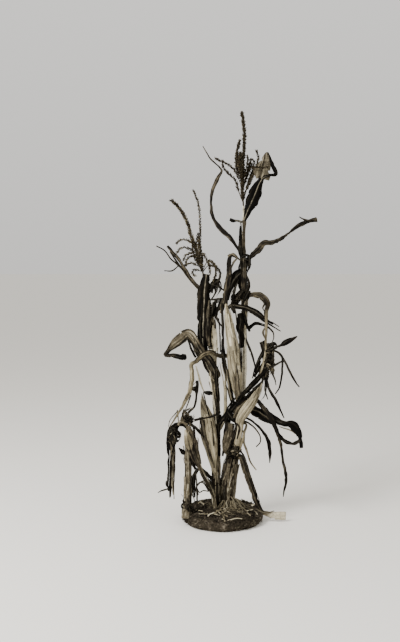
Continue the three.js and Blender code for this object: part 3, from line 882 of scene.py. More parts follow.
@dataclass
class Stalk:
    """A jointed stalk, fibrous and slightly ribbed."""

    name: str
    route: list[Triple]
    radius: list[float]
    tone: Tone = Tone.STALK
    shade: list[float] = field(default_factory=lambda: [0.5])
    braced: bool = False

    def curve(self) -> Route:
        """The stalk's own curve."""
        return Route(self.route)

    def thickness(self, share: float, length: float) -> float:
        """The stalk's radius, with a swollen joint at even distances.

        Args:
            share: Where along it, from 0 to 1.
            length: Its length.

        Returns:
            The radius.
        """
        to_joint = abs((share * length / NODE_SPACING + 0.5) % 1 - 0.5) * NODE_SPACING
        return along(self.radius, share) + NODE_SWELL * math.exp(-((to_joint / NODE_REACH) ** 2))

    def build(self) -> None:
        """Builds and dresses the stalk, with its brace roots if it has any."""
        ROUTES[self.name] = self.route
        route = self.curve()
        seed = random.Random(self.name).uniform(0, 100)

        def place(side: float, share: float) -> Spot:
            """Bends one corner of the stalk's rind into place."""
            angle = side * math.pi
            _, across, outward = route.frame(share)
            round_ = Vector((math.cos(angle), math.sin(angle), 0))
            length = share * route.length
            radius = self.thickness(share, route.length) - 1.0
            to_joint = abs((length / NODE_SPACING + 0.5) % 1 - 0.5) * NODE_SPACING
            ribs = 0.35 * math.sin(11 * angle + 0.02 * length)
            dents = 0.9 * noise.noise(Vector((round_.x * 1.4, round_.y * 1.4, length / 40 + seed)))
            groove = -1.1 * math.exp(-(((to_joint - 4) / 2.2) ** 2))
            radius += ribs + dents + groove
            point = route.at(share) + across * round_.x * radius + outward * round_.y * radius
            dark = -0.22 * math.exp(-((to_joint / 7) ** 2))
            shade = along(self.shade, share) + dark
            return point, side * math.pi * radius, length + NEXT_SEED * seed, shade

        work = Work()
        work.tube(28, round(route.length / 5), place)
        if self.braced:
            for index in range(BRACE_ROOTS):
                self.brace(work, index)
        work.finish(self.name + "_dress", self.tone, self.name)

    def brace(self, work: Work, index: int) -> None:
        """Adds one brace root: out of the stalk's foot, then down into the soil.

        Args:
            work: The mesh in the making.
            index: The root's number.
        """
        angle = index / BRACE_ROOTS * 2 * math.pi + 0.5 * math.sin(3 * index)
        reach = BRACE_SPREAD * (0.8 + 0.3 * math.sin(5 * index + 1))
        foot_x, foot_y = self.route[1][0], self.route[1][1]
        top = BRACE_TOP + 10 * math.sin(7 * index)
        steps = ((0.15, top), (0.55, top - 10), (1.0, BRACE_FOOT))
        spots = [
            (foot_x + math.cos(angle) * reach * share, foot_y + math.sin(angle) * reach * share, height)
            for share, height in steps
        ]
        strand(work, Route(spots), [BRACE_RADIUS], 0.35, f"brace{index}", sides=8)


def strand(work: Work, route: Route, radius: list[float], shade: float, name: str, sides: int = 5) -> None:
    """Adds a thin knobbly strand, such as a root or a fibre, to a mesh.

    Args:
        work: The mesh in the making.
        route: Its curve.
        radius: Its radii from end to end.
        shade: Its shade.
        name: What its chances are drawn from.
        sides: Faces round it.
    """
    seed = random.Random(name).uniform(0, 100)

    def place(side: float, share: float) -> Spot:
        """Bends one corner of the strand into place."""
        angle = side * math.pi
        _, across, outward = route.frame(share)
        length = share * route.length
        thick = along(radius, share) * (1 + 0.3 * wander(length, 9, seed, 0))
        point = route.at(share) + (across * math.cos(angle) + outward * math.sin(angle)) * thick
        return point, side * math.pi * thick, length + NEXT_SEED * seed, shade

    work.tube(sides, max(6, round(route.length / 7)), place)


@dataclass
class Sheath:
    """A leaf sheath that clasps a stalk and tears open at its top."""

    stalk: str
    low: float
    high: float
    tone: Tone
    facing: float
    arc: float = 130.0
    gap: float = 1.0
    flare: float = 4.0
    shade: float = 0.3


@dataclass
class Sheaths:
    """All the sheaths of one tissue, as one piece."""

    tone: Tone
    parts: list[Sheath]
    stalks: dict[str, Stalk]

    def build(self) -> None:
        """Builds and dresses the sheaths."""
        work = Work()
        for number, part in enumerate(self.parts):
            self.clasp(work, part, f"{self.tone.value}{number}")
        work.finish(f"sheaths_{self.tone.value}", self.tone)

    def clasp(self, work: Work, part: Sheath, name: str) -> None:
        """Adds one sheath to the mesh.

        Args:
            work: The mesh in the making.
            part: The sheath.
            name: What its chances are drawn from.
        """
        stalk = self.stalks[part.stalk]
        route = stalk.curve()
        first, last = route.share_at(part.low), route.share_at(part.high)
        length = (last - first) * route.length
        frays = Fray(name, 3, length)
        seed = random.Random(name).uniform(0, 100)
        columns = 20

        def place(side: float, share: float) -> Spot:
            """Bends one corner of the sheath round its stalk."""
            at = first + (last - first) * share
            _, across, outward = route.frame(at)
            angle = math.radians(part.facing + side * part.arc * (1 - 0.25 * share))
            swirl = noise.noise(Vector((side * 2, share * length / 30, seed)))
            radius = stalk.thickness(at, route.length) + part.gap
            radius += part.flare * ease(0.6, 1.0, share) * (0.6 + 0.8 * abs(side))
            radius += 1.2 * swirl + 1.6 * ease(0.7, 1.0, abs(side)) + 0.35 * math.sin(side * 20 + seed)
            drift, lift = frays.move(side, share)
            away = across * math.sin(angle) + outward * math.cos(angle)
            point = route.at(at) + away * (radius + abs(lift) * 0.5)
            point.z += drift
            measure = math.radians(side * part.arc) * radius
            return point, measure, share * length + NEXT_SEED * seed, part.shade + 0.1 * swirl

        work.sheet(
            columns,
            max(10, round(length / 5)),
            place,
            lambda side, share: frays.torn(side, share, 2 / columns),
        )


@dataclass
class Fibres:
    """Shreds of old sheaths that cling to a stalk, between two heights."""

    stalk: Stalk
    low: float
    high: float
    count: int

    def spread(self, works: dict[Tone, Work]) -> None:
        """Adds the shreds to the meshes of their tissues.

        Args:
            works: The meshes in the making.
        """
        route = self.stalk.curve()
        draw = random.Random(f"{self.stalk.name}{self.low}")
        for number in range(self.count):
            base = draw.uniform(self.low, self.high)
            top = min(base + draw.uniform(40, 150), self.high + 20)
            angle = draw.uniform(0, 2 * math.pi)
            gap = draw.uniform(1.5, 4.5)
            spots = []
            for step in range(6):
                share = route.share_at(base + (top - base) * step / 5)
                _, across, outward = route.frame(share)
                angle += draw.uniform(-0.12, 0.12)
                lift = draw.uniform(3, 12) if step == 5 and number % 3 == 0 else 0.0
                reach = self.stalk.thickness(share, route.length) + gap + lift
                away = across * math.sin(angle) + outward * math.cos(angle)
                spots.append(tuple(route.at(share) + away * reach))
            tone = draw.choice((Tone.DARK, Tone.DARK, Tone.GREY, Tone.GREY, Tone.STRAW))
            shade = draw.uniform(0.05, 0.6)
            width = [3.0, draw.uniform(4, 9), draw.uniform(3, 8), 2.0]
            turn = [math.degrees(-angle)]
            name = f"{self.stalk.name}{self.low}{number}"
            blade = Blade(name, tone, ("", 0.0), spots, width, turn, edge=0.1, solid=False)
            blade.spread(works[tone], name, Route(spots, seen=False), width, [shade])


@dataclass
class Ear:
    """An ear in its husks: a spindle under overlapping, torn husk leaves."""

    name: str
    on: tuple[str, float]
    route: list[Triple]
    radius: list[float]
    flat: float
    tone: Tone = Tone.HUSK
    husks: int = 9
    shade: float = 0.6
    ends: tuple[float, float] = (0.62, 1.0)

    def build(self) -> None:
        """Builds and dresses the ear."""
        ROUTES[self.name] = rooted(self.on, self.route)
        route = Route(ROUTES[self.name])
        work = Work()
        seed = random.Random(self.name).uniform(0, 100)

        def core(side: float, share: float) -> Spot:
            """Bends one corner of the spindle under the husks into place."""
            angle = side * math.pi
            _, across, outward = route.frame(share)
            thick = max(along(self.radius, share) - 2.6, 0.8)
            out = across * math.cos(angle) + outward * math.sin(angle) * self.flat
            point = route.at(share) + out * thick
            return point, angle * thick, share * route.length + NEXT_SEED * seed, self.shade - 0.25

        work.tube(20, max(10, round(route.length / 10)), core)
        for number in range(self.husks):
            self.wrap(work, route, number)
        work.finish(self.name + "_dress", self.tone, self.name)

    def wrap(self, work: Work, route: Route, number: int) -> None:
        """Lays one husk leaf over the spindle.

        Args:
            work: The mesh in the making.
            route: The ear's curve.
            number: The husk leaf's number, from the innermost.
        """
        name = f"{self.name}{number}"
        draw = random.Random(name)
        seed = draw.uniform(0, 100)
        middle = number * 137.5 + draw.uniform(-20, 20)
        arc = draw.uniform(52, 74)
        outer = number / max(1, self.husks - 1)
        end = self.ends[1] + (self.ends[0] - self.ends[1]) * outer + draw.uniform(-0.05, 0.05)
        end = min(end, 1.0)
        layer = -2.0 + 2.6 * outer
        shade = self.shade + draw.uniform(-0.16, 0.16)
        frays = Fray(name, 2, route.length * end)

        def place(side: float, share: float) -> Spot:
            """Bends one corner of a husk leaf round the spindle."""
            at = share * end
            _, across, outward = route.frame(at)
            taper = 1 - 0.45 * ease(0.55, 1.0, share)
            angle = math.radians(middle + side * arc * taper)
            ripple = noise.noise(Vector((side * 2.4, at * route.length / 34, seed)))
            thick = along(self.radius, at) + layer + 0.9 * ripple
            thick += 1.8 * ease(0.75, 1.0, share) + 0.5 * math.cos(side * 16 + seed) + 0.9 * abs(side) ** 3
            thick = max(thick, 1.0)
            drift, lift = frays.move(side, share)
            out = across * math.cos(angle) + outward * math.sin(angle) * self.flat
            point = route.at(at) + out * (thick + 0.3 * abs(lift))
            point += across * drift * 0.4
            measure = math.radians(side * arc) * thick
            mark = shade + 0.15 * ripple - 0.12 * share
            return point, measure, at * route.length + NEXT_SEED * seed, mark

        work.sheet(
            14,
            max(12, round(route.length * end / 6)),
            place,
            lambda side, share: frays.torn(side, share, 1 / 7),
        )


@dataclass
class Tassel:
    """A tassel: thin branches set all along with chaffy florets."""

    name: str
    spike: list[Triple]
    branches: list[list[Triple]]
    spacing: float = 2.8
    around: int = 3
    floret: tuple[float, float, float] = (1.5, 1.2, 4.8)
    tone: Tone = Tone.TASSEL
    shade: tuple[float, float] = (0.05, 0.6)
    thick: tuple[int, ...] = (0,)

    def build(self) -> None:
        """Builds and dresses the tassel."""
        work = Work()
        self.branch(work, self.spike, [3.2, 2.6, 1.6], 0)
        for number, points in enumerate(self.branches):
            self.branch(work, points, [2.1, 1.5, 0.9], number + 1)
        work.finish(self.name + "_dress", self.tone, self.name)

    def branch(self, work: Work, points: list[Triple], radius: list[float], number: int) -> None:
        """Adds one branch with its florets.

        Args:
            work: The mesh in the making.
            points: The branch's route.
            radius: Its radii from end to end.
            number: The branch's number, and 0 for the spike.
        """
        name = f"{self.name}{number}"
        route = Route(points)
        strand(work, route, radius, 0.35, name, sides=6)
        draw = random.Random(name)
        bare = 0.24 if number else 0.08
        full = number in self.thick
        count = int(route.length * (1 - bare) / self.spacing)
        for index in range(count):
            share = bare + (1 - bare) * index / count
            run, across, outward = route.frame(share)
            for side in range(self.around + 2 * full):
                spin = draw.uniform(0, 2 * math.pi) if side else index * 2.4
                out = across * math.cos(spin) + outward * math.sin(spin)
                lean = draw.uniform(0.3, 0.9)
                axis = (run * math.cos(lean) + out * math.sin(lean)).normalized()
                size = Vector(self.floret) * draw.uniform(0.7, 1.15) * (1.3 if full else 1.0)
                centre = route.at(share) + out * (along(radius, share) + 0.8) + axis * size.z * 0.7
                turn = axis.to_track_quat("Z", "Y").to_matrix()
                work.grain(centre, size, turn, draw.uniform(*self.shade))


def ground_height(reach: float) -> float:
    """The height of the soil.

    Args:
        reach: The distance from the root ball's middle.

    Returns:
        The height there, and 0 beyond the root ball.
    """
    for (near, high), (far, low) in zip(GROUND, GROUND[1:]):
        if reach <= far:
            return high + (low - high) * (reach - near) / (far - near)
    return 0.0


@dataclass
class RootBall:
    """The shallow cake of soil, with clods, crumbs and grit, flat underneath."""

    steps: int = 260
    crumbs: int = 2200
    crumb_shape: tuple[tuple[float, float], ...] = ((0.7, 1.3), (0.7, 1.2), (0.5, 0.9))

    def build(self) -> None:
        """Builds and dresses the root ball."""
        work = Work()
        profile = [
            (0.0, 0.0),
            (BALL_RADIUS * 0.93, 0.0),
            (BALL_RADIUS, BALL_HEIGHT * 0.35),
            (BALL_RADIUS * 0.98, BALL_HEIGHT * 0.75),
            (BALL_RADIUS * 0.9, BALL_HEIGHT),
            (BALL_RADIUS * 0.55, BALL_HEIGHT + BALL_MOUND * 0.35),
            (BALL_RADIUS * 0.25, BALL_HEIGHT + BALL_MOUND * 0.9),
            (0.0, BALL_HEIGHT + BALL_MOUND),
        ]
        corners = [work.mesh.verts.new((x, 0.0, z)) for x, z in profile]
        edges = [work.mesh.edges.new(pair) for pair in zip(corners, corners[1:])]
        for edge in edges:
            cuts = max(1, round(edge.calc_length() / 3.6))
            bmesh.ops.subdivide_edges(work.mesh, edges=[edge], cuts=cuts)
        bmesh.ops.spin(
            work.mesh,
            geom=work.mesh.verts[:] + work.mesh.edges[:],
            axis=(0, 0, 1),
            cent=(0, 0, 0),
            steps=self.steps,
            angle=2 * math.pi,
            use_merge=True,
        )
        bmesh.ops.remove_doubles(work.mesh, verts=work.mesh.verts[:], dist=0.01)
        bmesh.ops.recalc_face_normals(work.mesh, faces=work.mesh.faces[:])
        for corner in work.mesh.verts:
            self.roughen(corner, work)
        for face in work.mesh.faces:
            face.smooth = True
        self.scatter(work)
        work.finish("root_ball_dress", Tone.SOIL, "root_ball")

    def roughen(self, corner: bmesh.types.BMVert, work: Work) -> None:
        """Moves one corner of the cake out or in, as clods and hollows do; hollows and top get painted shade.

        Args:
            corner: The corner.
            work: The mesh in the making.
        """
        angle = math.atan2(corner.co.y, corner.co.x)
        wave = 1 + 0.02 * math.sin(3 * angle + 1) + 0.012 * math.sin(7 * angle)
        spot = corner.co / 24
        clods = 3.0 * noise.noise(spot) + 2.6 * noise.noise(spot * 2.3) + 2.0 * noise.noise(spot * 4.2)
        clods += 1.2 * noise.noise(spot * 7.0)
        # painted shade: the shade follows the clods, darker in the hollows and paler on the bumps, and the
        # whole top is darker for the shade in its small holes
        corner[work.shade] = 0.42 + 0.08 * clods - 0.28 * ease(38, 46, corner.co.z)
        flat = corner.co.z < 1.0
        corner.co.x *= wave
        corner.co.y *= wave
        if not flat:
            reach = Vector((corner.co.x, corner.co.y, 0))
            away = reach.normalized() * ease(100, 160, reach.length)
            rise = Vector((0, 0, 1.0 - ease(140, 162, reach.length)))
            corner.co += (away + rise) * clods * ease(0.0, 8.0, corner.co.z)

    def scatter(self, work: Work) -> None:
        """Strews crumbs of soil over the cake and its rim.

        Args:
            work: The mesh in the making.
        """
        draw = random.Random("crumbs")
        for _ in range(self.crumbs):
            angle = draw.uniform(0, 2 * math.pi)
            reach = BALL_RADIUS * math.sqrt(draw.uniform(0.05, 1.12))
            size = draw.uniform(0.9, 3.4) ** 1.25
            high = ground_height(reach) if reach < BALL_BRIM else draw.uniform(2, 44)
            if reach > BALL_BRIM:
                round_out = 13 * math.sin(math.pi * min(high / BALL_HEIGHT, 0.5))
                reach = BALL_SIDE + round_out - 0.25 * max(0.0, high - 32)
            rest = max(high + 0.3 * size, size + 0.5)
            centre = Vector((math.cos(angle) * reach, math.sin(angle) * reach, rest))
            shape = Vector([size * draw.uniform(low, top) for low, top in self.crumb_shape])
            turn = Matrix.Rotation(draw.uniform(0, 6.28), 3, "Z")
            work.grain(centre, shape, turn, draw.uniform(0.05, 0.55))


@dataclass
class Litter:
    """Fine roots and broken straw that lie on the mound round the stalks."""

    roots: int = 90
    hairs: int = 110
    straws: int = 70

    def build(self) -> None:
        """Builds and dresses the roots and the straw."""
        draw = random.Random("litter")
        work = Work()
        for number in range(self.roots):
            angle = draw.uniform(0, 2 * math.pi)
            start = draw.uniform(4, 30)
            end = start + draw.uniform(30, 90)
            spots = []
            for step in range(6):
                share = step / 5
                reach = start + (end - start) * share
                bend = angle + 0.5 * share * draw.uniform(-1, 1)
                x, y = MOUND_X + math.cos(bend) * reach, math.sin(bend) * reach
                high = ground_height(math.hypot(x, y)) + 22 * (1 - share) ** 2 + draw.uniform(0.5, 5)
                spots.append((x, y, high))
            strand(work, Route(spots, seen=False), [1.3, 1.0, 0.5], draw.uniform(0.0, 0.55), f"root{number}")
        work.finish("fine_roots", Tone.STRAW)
        hairs = Work()
        for number in range(self.hairs):
            self.hair(hairs, draw, number)
        hairs.finish("root_hairs", Tone.GREY)
        pale, dull = Work(), Work()
        for number in range(self.straws):
            self.straw(pale if number % 3 else dull, draw, number)
        pale.finish("straw_bits", Tone.STRAW)
        dull.finish("leaf_bits", Tone.GREY)

    def hair(self, work: Work, draw: random.Random, number: int) -> None:
        """Adds one root hair that leaves the rim of the soil and curls down it.

        Args:
            work: The mesh in the making.
            draw: Where its chances come from.
            number: The hair's number.
        """
        angle = draw.uniform(0, 2 * math.pi)
        high = draw.uniform(14, 44)
        spots = []
        for step in range(6):
            angle += draw.uniform(-0.07, 0.07)
            high = max(high + draw.uniform(-7, 4), 3.0)
            reach = 160 + draw.uniform(-1, 5)
            spots.append((math.cos(angle) * reach, math.sin(angle) * reach, high))
        strand(work, Route(spots, seen=False), [1.0, 0.8, 0.5], draw.uniform(0.0, 0.5), f"hair{number}")

    def straw(self, work: Work, draw: random.Random, number: int) -> None:
        """Lays one bit of broken leaf on the mound.

        Args:
            work: The mesh in the making.
            draw: Where its chances come from.
            number: The bit's number.
        """
        angle = draw.uniform(0, 2 * math.pi)
        reach = draw.uniform(20, 140)
        centre = Vector((MOUND_X + math.cos(angle) * reach, math.sin(angle) * reach, 0))
        if centre.length > 148:
            centre *= 148 / centre.length
        heading = draw.uniform(0, 2 * math.pi)
        length, width = draw.uniform(18, 62), draw.uniform(2.5, 8)
        bend, lift, seed = draw.uniform(-0.5, 0.5), draw.uniform(1.5, 7), draw.uniform(0, 100)
        shade = draw.uniform(0.0, 0.6)

        def place(side: float, share: float) -> Spot:
            """Bends one corner of the bit into place."""
            run = (share - 0.5) * length
            turn = heading + bend * share
            x = centre.x + math.cos(turn) * run - math.sin(turn) * side * width / 2
            y = centre.y + math.sin(turn) * run + math.cos(turn) * side * width / 2
            high = ground_height(min(math.hypot(x, y), BALL_SIDE)) + lift
            high += 3 * noise.noise(Vector((x / 12, y / 12, seed)))
            point = Vector((x, y, high + 1.2 * side * side))
            return point, side * width / 2, run + NEXT_SEED * seed, shade

        work.sheet(4, max(4, round(length / 6)), place)


# Routes are points of the front elevation as x, depth and z. Widths, radii, turns and shades are evenly
# spaced from base to tip. All the routes and most widths are those of the solid model.
STALKS = [
    Stalk(
        "stalk_main",
        route=[(18, 4, 34), (20, 4, 90), (28, 4, 180), (48, 4, 290), (72, 2, 400), (88, 0, 560),
               (91, 0, 760), (90, 0, 950), (87, 0, 1100), (86, 0, 1272)],
        radius=[22, 31, 28, 19, 12, 10.5, 10, 10, 9.5, 9, 12, 13, 9, 6, 5, 4.5],
        # The rind is pale midway up. There its shade is raised further as painted light, against the shadow
        # that the long ear casts on it.
        shade=[0.25, 0.3, 0.3, 0.4, 0.7, 0.9, 0.95, 0.9, 0.5, 0.1, 0.0, 0.3, 0.6, 0.6], braced=True,
    ),
    Stalk(
        "stalk_second",
        route=[(-26, -14, 34), (-27, -12, 120), (-22, 4, 260), (-20, 16, 400), (-26, 22, 500),
               (-38, 24, 600), (-40, 20, 700), (-38, 16, 790), (-60, 10, 890), (-77, 6, 1000)],
        radius=[16, 17, 15, 11, 11, 12, 13, 15, 16, 13, 9, 7, 5],
        shade=[0.2, 0.3, 0.35, 0.4, 0.3, 0.35, 0.5, 0.7, 0.95, 0.95, 0.5, 0.3, 0.3],
    ),
    Stalk(
        "stem_side",
        route=[(-146, -74, 6), (-140, -66, 90), (-138, -58, 200), (-138, -52, 290), (-143, -48, 392)],
        radius=[17, 15, 11, 10.5, 10, 9, 5],
        shade=[0.15, 0.25, 0.35, 0.3, 0.3],
    ),
    Stalk(
        "stem_tiller",
        route=[(-26, -44, 40), (-37, -52, 104), (-60, -66, 154), (-86, -76, 204), (-97, -80, 236)],
        radius=[7, 7, 7.5, 8, 9],
        shade=[0.35, 0.45, 0.4],
    ),
]

# Each sheath has its stalk, its foot and top, its tissue, the way it faces, its arc, its gap, its flare
# and its shade.
SHEATHS = [
    Sheath("stalk_main", 60, 235, Tone.GREY, -60, 70, 1.0, 3, 0.3),
    Sheath("stalk_main", 60, 250, Tone.GREY, 45, 50, 1.8, 4, 0.42),
    Sheath("stalk_main", 60, 262, Tone.DARK, -8, 42, 2.0, 3, 0.35),
    Sheath("stalk_main", 70, 220, Tone.GREY, 160, 90, 1.5, 4, 0.3),
    Sheath("stalk_main", 190, 330, Tone.DARK, 0, 120, 1.5, 8, 0.12),
    Sheath("stalk_main", 300, 455, Tone.GREY, 20, 120, 1.0, 4, 0.3),
    Sheath("stalk_main", 850, 930, Tone.GREY, 40, 120, 1.0, 3, 0.3),
    Sheath("stalk_main", 1060, 1210, Tone.GREY, 0, 130, 0.6, 2, 0.3),
    Sheath("stalk_second", 50, 170, Tone.DARK, 0, 130, 1.0, 4, 0.15),
    Sheath("stalk_second", 160, 300, Tone.GREY, 30, 120, 1.0, 4, 0.4),
    Sheath("stalk_second", 290, 440, Tone.DARK, -30, 120, 1.0, 4, 0.2),
    Sheath("stalk_second", 430, 570, Tone.GREY, 30, 120, 1.0, 4, 0.4),
    Sheath("stalk_second", 560, 700, Tone.STRAW, 10, 130, 1.5, 3, 0.6),
    Sheath("stalk_second", 690, 830, Tone.GREY, 40, 130, 1.0, 4, 0.35),
    Sheath("stalk_second", 700, 950, Tone.DARK, -60, 80, 2.5, 6, 0.15),
    Sheath("stem_side", 30, 190, Tone.GREY, 20, 110, 1.0, 3, 0.5),
    Sheath("stem_side", 120, 330, Tone.GREY, -10, 100, 2.0, 4, 0.42),
]

EARS = [
    Ear(
        "ear_long", ("stalk_main", 440),
        route=[(72, -22, 474), (64, -32, 515), (55, -44, 590), (46, -48, 670), (32, -46, 770),
               (17, -40, 876)],
        radius=[7, 10, 19, 26, 26, 23, 19, 14, 6], flat=0.75,
        husks=9, shade=0.5,
    ),
    Ear(
        "ear_left_wedge", ("stalk_second", 168),
        route=[(-34, -22, 215), (-45, -30, 300), (-56, -32, 360), (-62, -34, 410), (-76, -34, 460),
               (-83, -32, 514)],
        radius=[5, 9, 20, 29, 32, 24, 13, 3], flat=0.55,
        husks=8, shade=0.32, ends=(0.7, 1.0),
    ),
    Ear(
        "ear_slant", ("stalk_main", 292),
        route=[(60, -30, 308), (63, -38, 336), (70, -46, 372), (73, -52, 407), (92, -60, 440),
               (114, -66, 470), (135, -70, 502), (153, -74, 535), (164, -76, 558)],
        radius=[9, 15, 15, 13, 17, 21, 20, 16, 11, 4], flat=0.8,
        husks=8, shade=0.4, ends=(0.8, 1.0),
    ),
    Ear(
        "ear_tiller", ("stem_tiller", 226),
        route=[(-104, -82, 256), (-117, -84, 282), (-125, -84, 312), (-132, -84, 345),
               (-138, -82, 382)],
        radius=[9, 15, 23, 26, 21, 8], flat=0.8,
        tone=Tone.GREY, husks=6, shade=0.45,
    ),
    Ear(
        "husk_stub", ("stalk_main", 262),
        route=[(18, -36, 286), (21, -44, 320), (31, -46, 358), (37, -44, 392)],
        radius=[7, 12, 16, 18, 17, 15], flat=0.4,
        tone=Tone.GREY, husks=5, shade=0.4,
    ),
]

TASSELS = [
    Tassel(
        "tassel_main",
        spike=[(86, 0, 1268), (81, 0, 1377), (88, 0, 1498), (89, -4, 1580), (79, -8, 1652)],
        branches=[
            [(83, 0, 1290), (65, 10, 1336), (53, 20, 1377), (24, 34, 1405), (4, 42, 1430), (2, 44, 1456)],
            [(82, 0, 1340), (65, -10, 1385), (49, -20, 1418), (24, -30, 1440), (0, -36, 1452),
                (-30, -40, 1466)],
            [(82, 0, 1360), (62, 24, 1418), (57, 36, 1466), (65, 44, 1511), (71, 48, 1539)],
            [(85, 0, 1296), (105, 16, 1357), (122, 34, 1409), (134, 44, 1420), (190, 60, 1424)],
            [(86, 0, 1296), (110, 2, 1377), (126, 6, 1426), (126, 10, 1458), (113, 12, 1462)],
            [(84, 0, 1316), (118, -14, 1377), (138, -28, 1434), (146, -36, 1466), (138, -40, 1498)],
            [(83, 0, 1330), (96, 24, 1380), (108, 50, 1430), (118, 66, 1462)],
            [(84, 0, 1345), (76, -24, 1400), (70, -46, 1450), (74, -60, 1490)],
            [(84, 0, 1370), (98, -20, 1420), (104, -38, 1458), (100, -48, 1478)],
            [(86, 0, 1400), (80, 14, 1450), (74, 22, 1490)],
            [(86, 0, 1372), (80, -8, 1400), (72, -14, 1430), (66, -18, 1462), (60, -20, 1486)],
            [(86, 2, 1380), (80, 4, 1420), (75, 6, 1452), (73, 8, 1484)],
            [(88, -4, 1392), (83, -14, 1430), (79, -18, 1478)],
            [(86, 6, 1384), (70, 16, 1424), (62, 22, 1452), (60, 24, 1474)],
            [(90, 0, 1366), (100, -8, 1400), (108, -12, 1430), (112, -14, 1446)],
            [(90, 2, 1372), (104, 6, 1404), (116, 10, 1430), (118, 12, 1446)],
            [(112, -30, 1424), (122, -50, 1428), (146, -60, 1427), (186, -62, 1429)],
        ],
        around=4, thick=(0, 3, 11, 12, 13),
    ),
    Tassel(
        "tassel_second",
        spike=[(-77, 6, 996), (-93, 2, 1061), (-113, -4, 1114), (-130, -8, 1166), (-140, -12, 1200),
               (-158, -16, 1239), (-178, -20, 1268), (-207, -26, 1296)],
        branches=[
            [(-78, 6, 1010), (-89, 16, 1060), (-89, 24, 1195), (-93, 28, 1256), (-101, 34, 1296),
                (-117, 40, 1336)],
            [(-104, 0, 1085), (-104, 14, 1120), (-97, 24, 1162)],
            [(-110, -2, 1105), (-134, 6, 1130), (-154, 14, 1136), (-174, 20, 1132), (-186, 24, 1118)],
            [(-103, 0, 1080), (-130, -16, 1097), (-154, -28, 1105), (-170, -36, 1099), (-186, -42, 1081)],
            [(-100, 0, 1066), (-122, 18, 1082), (-138, 34, 1078), (-150, 46, 1069), (-158, 52, 1049)],
            [(-92, 2, 1050), (-112, -18, 1069), (-130, -30, 1066), (-142, -38, 1057), (-150, -42, 1033)],
            [(-84, 4, 1020), (-105, 20, 1033), (-130, 40, 1041), (-154, 54, 1025)],
            [(-80, 6, 1006), (-101, -8, 1012), (-117, -14, 1012), (-119, -16, 996), (-105, -16, 988)],
            [(-79, 6, 1012), (-57, 0, 1049), (-36, -8, 1041), (-25, -12, 1020), (-25, -14, 996),
                (-37, -14, 968)],
            [(-86, 4, 1040), (-75, -12, 1077), (-65, -28, 1057), (-53, -40, 1033), (-49, -44, 992)],
            [(-79, 6, 1004), (-56, 24, 1030), (-20, 44, 1022), (-8, 50, 996), (-14, 52, 972), (-26, 54, 956)],
            [(-84, 6, 1008), (-98, 8, 1045), (-106, 10, 1086), (-112, 12, 1122)],
            [(-82, 4, 1010), (-91, -8, 1061), (-95, -14, 1110), (-98, -18, 1150)],
            [(-84, 2, 1014), (-109, -6, 1057), (-118, -10, 1094), (-123, -12, 1130)],
            [(-80, 8, 1014), (-81, 14, 1061), (-87, 18, 1094), (-93, 20, 1134)],
        ],
        floret=(1.6, 1.3, 4.8), shade=(0.1, 0.75),
    ),
]

